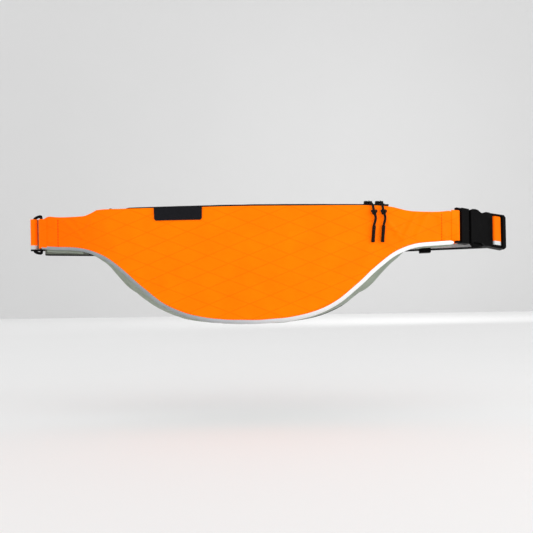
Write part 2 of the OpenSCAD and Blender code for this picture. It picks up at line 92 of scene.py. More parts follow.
ARM_ROOT = 17 * MM      # the latch arms' pivots, along the buckle
MID_BAR = 65 * MM       # the bar that the webbing goes round
BUCKLE_X = unit(JOINTS["buckle_release"]["axis"])
BUCKLE_Y = unit(JOINTS["squeeze_top"]["axis"])
ARM_TOP, ARM_LOW = (Vector(JOINTS[n]["pos_m"]) for n in ("squeeze_top", "squeeze_bottom"))
BUCKLE = frame_matrix((ARM_TOP + ARM_LOW) / 2 - BUCKLE_X * ARM_ROOT, BUCKLE_X, BUCKLE_Y)
LEG_X = unit(JOINTS["keeper_slide"]["axis"])
LEG_Y = BUCKLE_X.cross(BUCKLE_Y).cross(LEG_X)
LEGS = frame_matrix(BUCKLE @ Vector((MID_BAR, 0, 0)), LEG_X, LEG_Y)
LADDER_TURN = math.radians(150)
LADDER = frame_matrix(
    JOINTS["ladder_tilt"]["pos_m"],
    (math.cos(LADDER_TURN), math.sin(LADDER_TURN), 0),
    (-math.sin(LADDER_TURN), math.cos(LADDER_TURN), 0))


def cad_tree(node):
    mesh = frame["nodes"][node].data
    return BVHTree.FromPolygons([v.co for v in mesh.vertices], [p.vertices for p in mesh.polygons])


def on_arc(s, z, depth=0.0):
    """A point s along the front's arc, depth behind its outer face."""
    a = s / FRONT_R
    r = FRONT_R - depth
    return Vector((r * math.sin(a), ARC_Y - r * math.cos(a), z))


def on_front(path):
    """A path on the front with its normals, as a row for stitches."""
    return path, [unit((p.x, p.y - ARC_Y, 0)) for p in path]


def arc_s(x):
    """How far along the arc a place x lies."""
    return FRONT_R * math.asin(x / FRONT_R)


def smooth(t):
    t = min(1.0, max(0.0, t))
    return t * t * (3 - 2 * t)


def mix(a, b, t):
    return a + (b - a) * t


class Outline:
    """Lower and upper edge of a node that follows the front's arc, read by rays through its middle."""

    def __init__(self, node, s_low, s_high, depth, steps=240):
        tree = cad_tree(node)
        self.low_s, self.high_s, self.steps = s_low, s_high, steps
        self.rows = []
        for i in range(steps + 1):
            p = on_arc(mix(s_low, s_high, i / steps), 0, depth)
            ends = []
            for start, way in ((-0.3, 1), (0.3, -1)):
                hit = tree.ray_cast(Vector((p.x, p.y, start)), Vector((0, 0, way)))[0]
                ends.append(hit.z if hit else None)
            self.rows.append(ends)
        for side in (0, 1):
            column = self.filled([r[side] for r in self.rows])
            for _ in range(3):
                column = [column[0]] + [
                    (column[i - 1] + 2 * column[i] + column[i + 1]) / 4 for i in range(1, steps)
                ] + [column[-1]]
            for r, z in zip(self.rows, column):
                r[side] = z

    @staticmethod
    def filled(column):
        known = [z for z in column if z is not None]
        last = known[0]
        out = []
        for z in column:
            last = z if z is not None else last
            out.append(last)
        return out

    def at(self, s, side):
        t = (s - self.low_s) / (self.high_s - self.low_s) * self.steps
        i = min(self.steps - 1, max(0, int(t)))
        return mix(self.rows[i][side], self.rows[i + 1][side], t - i)


# ---------------------------------------------------------------- making meshes
def placed(name, data):
    """A new object that holds data, in the scene."""
    obj = bpy.data.objects.new(name, data)
    bpy.context.scene.collection.objects.link(obj)
    return obj


def deselect():
    bpy.ops.object.select_all(action="DESELECT")


def only(obj):
    """Selects obj alone and makes it active."""
    deselect()
    obj.select_set(True)
    bpy.context.view_layer.objects.active = obj
    return obj


def settle(obj):
    """Moves an object's place, turn and size into its mesh."""
    only(obj)
    bpy.ops.object.transform_apply(location=True, rotation=True, scale=True)
    return obj


def from_lists(name, verts, edges=(), faces=()):
    mesh = bpy.data.meshes.new(name)
    mesh.from_pydata(verts, list(edges), list(faces))
    return placed(name, mesh)


def merge_doubles(threshold=1e-6):
    return lambda: bpy.ops.mesh.remove_doubles(threshold=threshold)


def finish_piece(obj, name, body, slot, replaced=(), angle=35):
    """Names a piece, settles its place in its mesh, smooths it, hangs it on its body, hides the CAD parts it
    replaces and paints it.

    A piece that lies between two bodies rides on neither, and is given no body here.
    """
    obj.name = name
    obj.data.name = name
    settle(obj)
    bpy.ops.object.shade_smooth_by_angle(angle=math.radians(angle))
    if body:
        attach(obj, body)
    if replaced:
        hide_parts(*replaced)
    paint(obj, slot)
    return obj


def modify(obj, kind, **settings):
    """Adds one modifier and applies it."""
    only(obj)
    m = obj.modifiers.new(kind.title(), kind)
    for key, value in settings.items():
        setattr(m, key, value)
    bpy.ops.object.modifier_apply(modifier=m.name)
    return obj


def edit(obj, *steps):
    """Runs edit-mode operators on all of obj's mesh."""
    only(obj)
    bpy.ops.object.mode_set(mode="EDIT")
    bpy.ops.mesh.select_all(action="SELECT")
    for step in steps:
        step()
    bpy.ops.object.mode_set(mode="OBJECT")
    return obj


def outward(obj):
    return edit(obj, lambda: bpy.ops.mesh.normals_make_consistent(inside=False))


def sheet_mesh(columns, rows, place, size=(1, 1)):
    """A grid whose corners u, v (0 to 1) go to place(u, v), with UVs in metres over size."""
    deselect()
    bpy.ops.mesh.primitive_grid_add(x_subdivisions=columns, y_subdivisions=rows, size=1, calc_uvs=True)
    obj = bpy.context.object
    mesh = obj.data
    for v in mesh.vertices:
        v.co = place(v.co.x + 0.5, v.co.y + 0.5)
    for loop in mesh.uv_layers[0].data:
        loop.uv = (loop.uv[0] * size[0], loop.uv[1] * size[1])
    return obj


def thicken(obj, thickness, offset=0.0, rim=0.0, segments=2):
    modify(obj, "SOLIDIFY", thickness=thickness, offset=offset, use_even_offset=True)
    if rim:
        modify(obj, "BEVEL", width=rim, segments=segments, limit_method="ANGLE", angle_limit=math.radians(50),
               harden_normals=False)
    return outward(obj)


def path_lengths(points):
    out = [0.0]
    for a, b in zip(points, points[1:]):
        out.append(out[-1] + (b - a).length)
    return out


def smooth_path(points, per_span=6):
    """Catmull-Rom points through a list of points."""
    n = len(points) - 1
    out = []
    for i in range(n):
        a, b, c, d = points[max(0, i - 1)], points[i], points[i + 1], points[min(n, i + 2)]
        for k in range(per_span):
            t = k / per_span
            out.append(0.5 * (2 * b + (c - a) * t + (2 * a - 5 * b + 4 * c - d) * t * t
                              + (3 * b - a - 3 * c + d) * t ** 3))
    return out + [points[-1]]


def ribbon(points, width, thickness, across, rows=10, rim=None, step=2.5 * MM, wave=0.0):
    """Flat webbing along points. across(t) is its width's direction at a share t of its length."""
    lengths = path_lengths(points)
    total = lengths[-1]
    columns = max(4, int(total / step))

    def along(t):
        d = t * total
        i = max(j for j in range(len(points) - 1) if lengths[j] <= d + 1e-12)
        span = lengths[i + 1] - lengths[i]
        return points[i].lerp(points[i + 1], min(1.0, (d - lengths[i]) / span))

    def place(u, v):
        p = along(u)
        w = unit(across(u))
        sag = wave * math.sin(u * total / (31 * MM)) * (v - 0.5)
        tangent = unit(along(min(1, u + 0.004)) - along(max(0, u - 0.004)))
        return p + w * (v - 0.5) * width + tangent.cross(w) * sag

    obj = sheet_mesh(columns, rows, place, (total, width))
    return thicken(obj, thickness, rim=rim or thickness * 0.38)


def tube(points, radius, name, sides=4, closed=False):
    """A round tube along points, as a curve with one spline."""
    curve = bpy.data.curves.new(name, "CURVE")
    curve.dimensions = "3D"
    curve.bevel_depth = radius
    curve.bevel_resolution = sides
    curve.use_fill_caps = True
    line = curve.splines.new("POLY")
    line.points.add(len(points) - 1)
    for q, p in zip(line.points, points):
        q.co = (*p, 1)
    line.use_cyclic_u = closed
    return placed(name, curve)


def as_mesh(obj):
    """The curve as a closed mesh, its caps joined on."""
    only(obj)
    bpy.ops.object.convert(target="MESH")
    obj = bpy.context.object
    edit(obj, merge_doubles(1e-7))
    return outward(obj)


def lathe(profile, matrix, steps=28):
    """Spins a profile of (radius, height) points round the local Z axis."""
    obj = from_lists("lathe", [(r, 0, h) for r, h in profile], [(i, i + 1) for i in range(len(profile) - 1)])
    edit(obj,
         lambda: bpy.ops.mesh.spin(steps=steps, angle=math.tau, center=(0, 0, 0), axis=(0, 0, 1)),
         merge_doubles(),
         lambda: bpy.ops.mesh.dissolve_degenerate(threshold=1e-6))
    outward(obj)
    obj.matrix_world = matrix
    return obj


def refined(node, bevel):
    """A copy of a CAD node with its edges rounded."""
    obj = placed(node + "_copy", frame["nodes"][node].data.copy())
    obj.data.materials.clear()
    edit(obj,
         merge_doubles(2e-6),
         lambda: bpy.ops.mesh.customdata_custom_splitnormals_clear(),
         lambda: bpy.ops.mesh.dissolve_limited(angle_limit=math.radians(1.5)))
    return modify(obj, "BEVEL", width=bevel, segments=3, limit_method="ANGLE",
                  angle_limit=math.radians(25), use_clamp_overlap=True)


def repeated(source, matrices):
    """One mesh that holds a copy of source's mesh at each matrix. Source is removed."""
    verts, faces = [], []
    base_v = [v.co.copy() for v in source.data.vertices]
    base_f = [tuple(p.vertices) for p in source.data.polygons]
    for m in matrices:
        n = len(verts)
        verts += [m @ v for v in base_v]
        faces += [tuple(i + n for i in f) for f in base_f]
    obj = from_lists("repeated", verts, faces=faces)
    bpy.data.objects.remove(source)
    return obj


def joined(objects):
    deselect()
    for o in objects:
        o.select_set(True)
    bpy.context.view_layer.objects.active = objects[0]
    bpy.ops.object.join()
    return bpy.context.object


def thread(length, width):
    """One stitch, lying along X and standing up along Z."""
    deselect()
    bpy.ops.mesh.primitive_uv_sphere_add(segments=8, ring_count=5, radius=0.5)
    obj = bpy.context.object
    obj.scale = (width, width * 0.8, length)
    obj.rotation_euler = (0, math.radians(90), 0)
    return settle(obj)


def stitch_row(points, normals, length, gap, width):
    """Matrices of stitches along a path that lies on a surface."""
    lengths = path_lengths(points)
    out = []
    d = length / 2
    i = 0
    while d < lengths[-1] - length / 2:
        while lengths[i + 1] < d:
            i += 1
        t = (d - lengths[i]) / (lengths[i + 1] - lengths[i])
        p = points[i].lerp(points[i + 1], t)
        n = normals[i].lerp(normals[i + 1], t).normalized()
        x = unit(points[i + 1] - points[i])
        y = n.cross(x).normalized()
        out.append(columns_matrix(x, y, n, p + n * width * 0.12))
        d += length + gap
    return out


def stitches(name, rows, body, color, length, gap, width):
    """All rows of stitches of one seam as one piece. Lengths are in millimetres."""
    length, gap, width = length * MM, gap * MM, width * MM
    matrices = [m for points, normals in rows for m in stitch_row(points, normals, length, gap, width)]
    obj = finish_piece(repeated(thread(length, width), matrices), name, body, "tape", angle=60)
    paint(obj, color + "_thread")
    return obj


def rounded_block(size, radius, matrix=Matrix()):
    """A block with eased edges, its middle at the matrix's origin."""
    deselect()
    bpy.ops.mesh.primitive_cube_add(size=1)
    obj = bpy.context.object
    obj.scale = size
    bpy.ops.object.transform_apply(location=False, rotation=False, scale=True)
    modify(obj, "BEVEL", width=radius, segments=3)
    obj.matrix_world = matrix
    return settle(obj)


# ---------------------------------------------------------------- finishes
def add(tree, kind, **settings):
    """A node with its settings and the defaults of its inputs, given by name or by index as i0, i1."""
    n = tree.nodes.new("ShaderNode" + kind)
    for key, value in settings.items():
        if key[0] == "i" and key[1:].isdigit():
            put(tree, n.inputs[int(key[1:])], value)
        elif hasattr(n, key):
            setattr(n, key, value)
        else:
            put(tree, n.inputs[key.replace("_", " ")], value)
    return n


def put(tree, socket, value):
    """Links an output to a socket, or sets the socket's own value."""
    if isinstance(value, bpy.types.NodeSocket):
        tree.links.new(value, socket)
    else:
        socket.default_value = value


def sums(tree, operation, a, b=0.0, c=0.0):
    return add(tree, "Math", operation=operation, i0=a, i1=b, i2=c).outputs[0]


def ramp(tree, value, start, end, low, high):
    """Low up to start, high from end on, with a soft step between."""
    return add(tree, "MapRange", interpolation_type="SMOOTHSTEP", i0=value, i1=start, i2=end, i3=low,
               i4=high).outputs[0]


def group(name, inputs, build):
    """A shader node group with a Vector input, named float inputs and one output, Value, made once."""
    tree = bpy.data.node_groups.get(name)
    if tree is None:
        tree = bpy.data.node_groups.new(name, "ShaderNodeTree")
        tree.interface.new_socket("Vector", in_out="INPUT", socket_type="NodeSocketVector")
        for i in inputs:
            tree.interface.new_socket(i, in_out="INPUT", socket_type="NodeSocketFloat")
        tree.interface.new_socket("Value", in_out="OUTPUT", socket_type="NodeSocketFloat")
        source = tree.nodes.new("NodeGroupInput")
        sink = tree.nodes.new("NodeGroupOutput")
        tree.links.new(build(tree, *source.outputs[:len(inputs) + 1]), sink.inputs[0])
    return tree


def scaled(tree, vector, size):
    """The vector in units of size."""
    n = add(tree, "VectorMath", operation="SCALE", i0=vector)
    put(tree, n.inputs["Scale"], sums(tree, "DIVIDE", 1.0, size))
    return n.outputs[0]


def build_weave(tree, vector, pitch):
    """Threads that pass over and under each other."""
    xyz = add(tree, "SeparateXYZ", i0=scaled(tree, vector, pitch)).outputs
    waves = [sums(tree, "SINE", sums(tree, "MULTIPLY", o, math.tau)) for o in xyz[:2]]
    return sums(tree, "MULTIPLY_ADD", sums(tree, "MULTIPLY", *waves), 0.5, 0.5)


def build_mottle(tree, vector, size):
    """Soft uneven patches, from 0 to 1."""
    at = scaled(tree, vector, size)
    return add(tree, "TexNoise", i0=at, Scale=1.0, Detail=3.0, Roughness=0.55).outputs[0]


def build_grain(tree, vector, size):
    """The pebbled surface of a moulded part."""
    at = scaled(tree, vector, size)
    cells = add(tree, "TexVoronoi", i0=at, Scale=1.0, feature="SMOOTH_F1", Smoothness=0.6)
    fine = add(tree, "TexNoise", i0=at, Scale=2.3, Detail=2.0).outputs[0]
    return sums(tree, "ADD", sums(tree, "MULTIPLY", cells.outputs[0], 0.6), sums(tree, "MULTIPLY", fine, 0.4))


def build_diamonds(tree, vector, width, height, line):
    """1 on the yarns of a diamond grid and 0 between them."""
    xyz = add(tree, "SeparateXYZ", i0=vector).outputs
    x, z = sums(tree, "DIVIDE", xyz[0], width), sums(tree, "DIVIDE", xyz[1], height)
    masks = []
    for way in ("ADD", "SUBTRACT"):
        off = sums(tree, "ABSOLUTE", sums(tree, "SUBTRACT", sums(tree, "FRACT", sums(tree, way, x, z)), 0.5))
        near = sums(tree, "MULTIPLY", off, height)
        masks.append(ramp(tree, near, 0.0, line, 1.0, 0.0))
    return sums(tree, "MAXIMUM", *masks)


def build_ribs(tree, vector, pitch):
    """Herringbone ribs of heavy webbing: lengthwise cords crossed by the weft."""
    xyz = add(tree, "SeparateXYZ", i0=scaled(tree, vector, pitch)).outputs
    cords = sums(tree, "ABSOLUTE", sums(tree, "SINE", sums(tree, "MULTIPLY", xyz[1], math.pi)))
    slant = sums(tree, "MULTIPLY_ADD", xyz[0], math.tau, sums(tree, "MULTIPLY", xyz[1], math.pi))
    weft = sums(tree, "MULTIPLY_ADD", sums(tree, "SINE", slant), 0.5, 0.5)
    return sums(tree, "ADD", sums(tree, "MULTIPLY", cords, 0.6), sums(tree, "MULTIPLY", weft, 0.4))


def build_braid(tree, vector, pitch):
    """Strands that wind both ways round a cord."""
    xyz = add(tree, "SeparateXYZ", i0=scaled(tree, vector, pitch)).outputs
    waves = [sums(tree, "SINE", sums(tree, "MULTIPLY", sums(tree, way, xyz[2], xyz[0]), math.tau))
             for way in ("ADD", "SUBTRACT")]
    return sums(tree, "MULTIPLY_ADD", sums(tree, "MAXIMUM", *waves), 0.5, 0.5)


GROUPS = {
    "weave": (("Pitch",), build_weave),
    "mottle": (("Size",), build_mottle),
    "grain": (("Size",), build_grain),
    "diamonds": (("Width", "Height", "Line"), build_diamonds),
    "ribs": (("Pitch",), build_ribs),
    "braid": (("Pitch",), build_braid),
}


class Finish:
    """One material: a Principled shader with its constants, and helpers that feed it."""

    def __init__(self, name, roughness=0.6, coords="Object", **constants):
        self.material = bpy.data.materials.new(name)
        self.material.use_nodes = True
        self.tree = self.material.node_tree
        self.shader = self.tree.nodes["Principled BSDF"]
        self.shader.inputs["Roughness"].default_value = roughness
        for key, value in constants.items():
            self.shader.inputs[key.replace("_", " ")].default_value = value
        self.vector = add(self.tree, "TexCoord").outputs[coords]

    def effect(self, kind, *values):
        """The named group on this material's coordinates, with its inputs' values in order."""
        names, build = GROUPS[kind]
        n = self.tree.nodes.new("ShaderNodeGroup")
        n.node_tree = group(kind, names, build)
        put(self.tree, n.inputs[0], self.vector)
        for socket, value in zip(n.inputs[1:], values):
            socket.default_value = value
        return n.outputs[0]

    def axis(self, index):
        """How far along one axis of the coordinates."""
        return add(self.tree, "SeparateXYZ", i0=self.vector).outputs[index]

    def blend(self, mask, a, b):
        n = add(self.tree, "Mix", data_type="RGBA")
        put(self.tree, n.inputs[0], mask)
        for socket, value in ((n.inputs[6], a), (n.inputs[7], b)):
            put(self.tree, socket, value if isinstance(value, bpy.types.NodeSocket) else (*value, 1.0))
        return n.outputs[2]

    def spread(self, mask, low, high):
        """The mask stretched to run from low to high."""
        return add(self.tree, "MapRange", i0=mask, i1=0.0, i2=1.0, i3=low, i4=high).outputs[0]

    def feed(self, socket, value):
        put(self.tree, self.shader.inputs[socket], value)

    def bumps(self, *layers):
        """Layers of (height, depth in metres), one over the other."""
        normal = None
        for height, depth in layers:
            n = add(self.tree, "Bump", Height=height, Distance=depth)
            n.inputs["Strength"].default_value = 1.0
            if normal is not None:
                put(self.tree, n.inputs["Normal"], normal)
            normal = n.outputs[0]
        self.feed("Normal", normal)


BLACK = (0.012, 0.012, 0.013)


def laminate():
    """Orange film over a diamond grid of yarns, with painted shade that deepens its colour on the left wing
    and a painted glow that brightens the orange.
    """
    # Emission_Strength gives the orange a painted glow, brighter and more saturated than lit cloth.
    f = Finish("orange_laminate", coords="UV", Specular_IOR_Level=0.03, Emission_Strength=0.28)
    yarns = f.effect("diamonds", sizes().grid_width, sizes().grid_height, 0.95 * MM)
    patches = f.effect("mottle", 38 * MM)
    ground = f.blend(patches, colours().laminate_deep, colours().laminate_light)
    along = f.axis(0)
    # Painted shade: the orange turns deeper and redder towards the left wing, as if that wing lay further
    # from the light.
    painted_shade_left_wing = ramp(f.tree, along, -0.14, -0.25, 0.0, 0.85)
    ground = f.blend(painted_shade_left_wing, ground, (1.0, 0.145, 0.0))
    f.feed("Base Color", f.blend(f.spread(yarns, 0.0, 0.34), ground, colours().yarn))
    # Painted glow: the emission colour, varied by the random patches.
    f.feed("Emission Color", f.blend(patches, (1.0, 0.05, 0.0), (1.0, 0.09, 0.0)))
    f.feed("Roughness", f.spread(f.effect("mottle", 6 * MM), 0.42, 0.58))
    f.bumps((f.effect("mottle", 24 * MM), 0.9 * MM), (f.effect("weave", 0.9 * MM), 0.035 * MM),
            (yarns, 0.16 * MM))
    return f.material


def edge_film():
    """Silver film with painted light: painted shade makes it duller and greyer towards the left, and a
    painted highlight makes it white towards the right.
    """
    f = Finish("silver_film", coords="UV", Metallic=0.85)
    wear = f.effect("mottle", 9 * MM)
    along = f.axis(0)
    # Painted light: the film runs from painted shade on the left to a painted highlight on the right.
    painted_highlight_right = ramp(f.tree, along, -0.12, 0.16, 0.0, 1.0)
    film_in_painted_shade = f.blend(wear, (0.27, 0.30, 0.32), (0.40, 0.43, 0.45))
    film_in_painted_highlight = f.blend(wear, colours().film, (1.0, 1.0, 1.0))
    f.feed("Base Color", f.blend(painted_highlight_right, film_in_painted_shade, film_in_painted_highlight))
    f.feed("Roughness", f.spread(f.effect("mottle", 2 * MM), 0.22, 0.42))
    f.bumps((f.effect("grain", 0.35 * MM), 0.03 * MM), (wear, 0.25 * MM))
    return f.material


def gusset_cloth():
    f = Finish("grey_green_laminate", coords="UV", Specular_IOR_Level=0.4)
    patches = f.effect("mottle", 22 * MM)
    yarns = f.effect("diamonds", sizes().grid_width, sizes().grid_height, 1.2 * MM)
    ground = f.blend(patches, colours().gusset_deep, colours().gusset_light)
    f.feed("Base Color", f.blend(f.spread(yarns, 0, 0.35), ground, (0.17, 0.2, 0.155)))
    f.feed("Roughness", f.spread(patches, 0.45, 0.62))
    f.bumps((f.effect("weave", 0.8 * MM), 0.04 * MM), (f.effect("mottle", 12 * MM), 0.5 * MM))
    return f.material


def spacer_mesh():
    """Open mesh of the back panel: fine threads with pits between them."""
    f = Finish("spacer_mesh", 0.85, coords="UV", Specular_IOR_Level=0.2)
    holes = f.effect("weave", 3.2 * MM)
    # Painted shade: the pits between the threads are painted darker than the threads.
    f.feed("Base Color", f.blend(f.spread(holes, 0.0, 1.0), (0.045, 0.046, 0.05), (0.011, 0.011, 0.012)))
    f.bumps((sums(f.tree, "SUBTRACT", 1.0, holes), 0.55 * MM), (f.effect("weave", 0.6 * MM), 0.08 * MM))
    return f.material


def plain_cloth(name, dark, light, pitch, coords="UV", roughness=0.8, sheen=0.2):
    f = Finish(name, roughness, coords=coords, Specular_IOR_Level=0.12, Sheen_Weight=sheen)
    patches = f.effect("mottle", 14 * MM)
    f.feed("Base Color", f.blend(patches, dark, light))
    f.bumps((f.effect("weave", pitch), 0.09 * MM), (patches, 0.4 * MM))
    return f.material


def webbing():
    """Orange face with a silver stripe and a dark selvedge along its lower edge."""
    # Emission_Strength gives the orange face a painted glow, brighter than lit cloth.
    f = Finish("belt_face", coords="UV", Specular_IOR_Level=0.04, Emission_Strength=0.28)
    across = f.axis(1)
    stripe = sums(f.tree, "LESS_THAN", across, 7.2 * MM)
    selvedge = sums(f.tree, "LESS_THAN", across, 2.1 * MM)
    patches = f.effect("mottle", 18 * MM)
    ribs = f.effect("ribs", 1.6 * MM)
    orange = f.blend(patches, (1.0, 0.165, 0.0), (1.0, 0.225, 0.0))
    # Painted shade: the grooves between the ribs are painted darker and redder than the orange.
    shaded = f.blend(f.spread(ribs, 0.45, 0.0), orange, (0.85, 0.10, 0.0))
    f.feed("Base Color", f.blend(selvedge, f.blend(stripe, shaded, (0.66, 0.68, 0.69)), BLACK))
    # Painted glow: emission on the orange face only, none on the stripe.
    glow = f.blend(patches, (1.0, 0.05, 0.0), (1.0, 0.08, 0.0))
    f.feed("Emission Color", f.blend(stripe, glow, (0.0, 0.0, 0.0)))
    f.feed("Metallic", f.spread(sums(f.tree, "SUBTRACT", stripe, selvedge), 0.0, 0.7))
    f.feed("Roughness", f.spread(ribs, 0.5, 0.72))
    f.bumps((ribs, 0.16 * MM), (patches, 0.3 * MM))
    return f.material


def webbing_back():
    f = Finish("belt_reverse", 0.7, coords="UV", Specular_IOR_Level=0.25)
    across = f.axis(1)
    ribs = f.effect("ribs", 1.6 * MM)
    # Painted shade: the grooves between the ribs are painted darker.
    ground = f.blend(ribs, (0.15, 0.175, 0.14), (0.27, 0.3, 0.25))
    f.feed("Base Color", f.blend(sums(f.tree, "LESS_THAN", across, 2.1 * MM), ground, BLACK))
    f.bumps((ribs, 0.16 * MM))
    return f.material


def moulded(name, dark, light, grain, depth, roughness, coat, shine):
    """Plastic, rubber or foam, with a pebbled grain of this size and depth in millimetres."""
    f = Finish(name, coords="Object", Coat_Weight=coat, Coat_Roughness=0.25, Specular_IOR_Level=shine)
    pebbles = f.effect("grain", grain * MM)
    patches = f.effect("mottle", 11 * MM)
    f.feed("Base Color", f.blend(patches, dark, light))
    f.feed("Roughness", f.spread(patches, roughness - 0.07, roughness + 0.07))
    f.bumps((pebbles, depth * MM), (patches, 0.05 * MM))
    return f.material


def cord_braid():
    f = Finish("cord_braid", 0.75, coords="Object", Specular_IOR_Level=0.15)
    strands = f.effect("braid", 1.1 * MM)
    # Painted shade: the grooves between the strands are painted darker.
    f.feed("Base Color", f.blend(strands, (0.003, 0.003, 0.003), (0.014, 0.013, 0.012)))
    f.bumps((strands, 0.18 * MM))
    return f.material


def coloured_thread(name, color):
    f = Finish(name, 0.75, coords="Object", Specular_IOR_Level=0.06)
    plies = f.effect("braid", 0.5 * MM)
    # Painted shade: the grooves between the plies are painted darker, at 0.6 of the thread's colour.
    f.feed("Base Color", f.blend(plies, tuple(c * 0.6 for c in color), color))
    f.bumps((plies, 0.05 * MM))
    return f.material


def stage_paint(name, level):
    f = Finish(name, 0.8, coords="Object", Specular_IOR_Level=0.1)
    f.feed("Base Color", f.blend(f.effect("mottle", 0.8), (level - 0.01,) * 3, (level + 0.01,) * 3))
    return f.material


# Each moulded finish: name, deep and light colour, size and depth of its grain in millimetres, roughness,
# coat and shine
MOULDED = {
    "foam": ("closed_cell_foam", (0.045, 0.046, 0.05), (0.07, 0.072, 0.075), 0.9, 0.12, 0.85, 0.0, 0.1),
    "coil": ("coated_coil", (0.012, 0.012, 0.013), (0.02, 0.02, 0.021), 0.5, 0.01, 0.35, 0.05, 0.1),
    "zip_metal": ("slider_paint", (0.004, 0.004, 0.004), (0.008, 0.008, 0.009), 0.6, 0.012, 0.3, 0.06, 0.1),
    "sleeve": ("sleeve_rubber", (0.004, 0.0037, 0.0035), (0.009, 0.008, 0.0075), 0.6, 0.02, 0.55, 0.0, 0.1),
    "label": ("label_rubber", (0.006, 0.006, 0.008), (0.010, 0.010, 0.013), 0.45, 0.025, 0.6, 0.0, 0.1),
}
THREADS = {
    "orange": (0.9, 0.055, 0.0), "red": (0.8, 0.035, 0.005), "black": (0.02, 0.02, 0.022),
    "grey": (0.3, 0.32, 0.3),
}
FINISHES = {
    "laminate": laminate,
    "edge_strip": edge_film,
    "gusset": gusset_cloth,
    "mesh": spacer_mesh,
    "cord": cord_braid,
    "webbing": webbing,
    "webbing_back": webbing_back,
    "lining": lambda: plain_cloth("lining_cloth", (0.24, 0.28, 0.22), (0.33, 0.37, 0.3), 0.5 * MM),
    "tape": lambda: plain_cloth("woven_tape", (0.006, 0.006, 0.007), (0.015, 0.015, 0.016), 0.8 * MM,
                                coords="Object", sheen=0.05),
    "buckle": lambda: moulded("buckle_plastic", colours().plastic_deep, colours().plastic_light,
                              0.5, 0.015, 0.36, 0.0, 0.02),
    "floor": lambda: stage_paint("pale_floor", 0.865),
    "backdrop": lambda: stage_paint("pale_backdrop", 0.715),
}
FINISHES.update({slot: lambda values=values: moulded(*values) for slot, values in MOULDED.items()})
FINISHES.update({f"{name}_thread": lambda name=name, color=color: coloured_thread(f"{name}_thread", color)
                 for name, color in THREADS.items()})
made_finishes = {}


def finish_named(name):
    if name not in made_finishes:
        made_finishes[name] = FINISHES[name]()
    return made_finishes[name]


def paint(obj, *names):
    obj.data.materials.clear()
    for name in names:
        obj.data.materials.append(finish_named(name))


# ---------------------------------------------------------------- sizes of the bag, repeated from the CAD
BACK_FLAT = 130 * MM
BACK_END = 212 * MM
WING_END = 268 * MM
SHEET_END = 264.6 * MM
TRIM_END = 262.6 * MM
TOP_RISE = 31 * MM
TAPE_Z = 29.6 * MM
COIL_Z = 30.2 * MM
ZIP_IN = 7.5 * MM
ZIP_END = 175 * MM
FRONT_MIDDLE = 0.75 * MM    # half of the front sheet's thickness
STRAP_W = 41 * MM
STRAP_T = 1.6 * MM
FOLD_SHARE = 0.45           # the part of the binding's width that lies in its fold
BACK_CHANNELS = (-0.113, -0.04, 0.04, 0.113)    # the sewn channels across the back panel
BACK_LOW, BACK_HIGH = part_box("back_mesh")
BACK_RISE = -(BACK_LOW.y + 1.5 * MM) * (BACK_END - BACK_FLAT) / (BACK_HIGH.x - BACK_FLAT)


def back_y(x):
    """The back panel's rear face: flat in the middle, then running forwards to the wings."""
    return -BACK_RISE * max(0.0, abs(x) - BACK_FLAT) / (BACK_END - BACK_FLAT)


def set_uv(obj, place):
    """UVs in metres from each corner's place."""
    layer = obj.data.uv_layers[0] if obj.data.uv_layers else obj.data.uv_layers.new(name="UVMap")
    for loop in obj.data.loops:
        layer.data[loop.index].uv = place(obj.data.vertices[loop.vertex_index].co)


def cloth(obj, name, slot, node, thickness, rim, uv):
    """Gives a sheet of cloth its thickness, its UVs and its finish."""
    thicken(obj, thickness, rim=rim)
    set_uv(obj, uv)
    finish_piece(obj, name, "pack", slot, [node])


def arc_uv(co):
    return FRONT_R * math.atan2(co.x, ARC_Y - co.y), co.z


def plan_uv(co):
    return co.x, co.y


def face_uv(co):
    return co.x, co.z


def ripple(x, y, size, seed=0.0):
    """Smooth noise from about -1 to 1."""
    return noise.noise(Vector((x / size, y / size, seed)))


def ridge(p, a, b, width):
    """1 on the line from a to b, fading to 0 over width; points are (s, z)."""
    p, a, b = Vector(p), Vector(a), Vector(b)
    d = b - a
    t = min(1.0, max(0.0, (p - a).dot(d) / d.length_squared))
    off = (p - a - d * t).length
    return math.exp(-(off / width) ** 2)


# Creases of the front: from (s, z), to (s, z), width and height, in millimetres
CREASES = (
    ((-199, 16), (-209, 3), 2.6, 1.1), ((-237, 18), (-214, -3), 3.0, 0.8), ((-226, 22), (-214, 8), 3.0, 0.6),
    ((214, 20), (198, -9), 3.0, 1.2), ((230, 21), (214, -7), 3.2, 0.8), ((196, 4), (186, -8), 2.4, 0.7),
    ((178, 8), (196, -13), 2.8, 0.8), ((244, 20), (252, -12), 3.4, 0.6), ((-180, 6), (-165, -28), 7.0, 0.7),
    ((160, 2), (146, -40), 7.0, 0.7), ((-120, -30), (-96, -84), 9.0, 0.6), ((120, -44), (96, -88), 8.0, 0.6),
    ((-250, 19), (-246, -12), 3.2, 0.5),
)


def front_bulge(s, z, low, high):
    """How far the front stands out from its arc: its fullness, its creases and a slight unevenness."""
    t = (z - low) / max(1e-6, high - low)
    across = math.sin(math.pi * min(1, max(0, t)))
    along = max(0.0, 1 - (s / 0.2) ** 2)
    inner = smooth((0.262 - abs(s)) / 0.008) * smooth(t / 0.06) * smooth((1 - t) / 0.06)
    out = 1.6 * MM * across * along
    for a, b, width, height in CREASES:
        out += 1.6 * height * MM * inner * ridge((s / MM, z / MM), a, b, width)
    out += inner * (0.5 * MM * ripple(s, z, 0.045) + 0.28 * MM * ripple(s, z, 0.014, 5))
    return min(out, 2.3 * MM)


# ---------------------------------------------------------------- sizes and colours a user may change
def length(name, description, millimetres):
    return bpy.props.FloatProperty(
        name=name, description=description, default=millimetres * MM, unit="LENGTH")


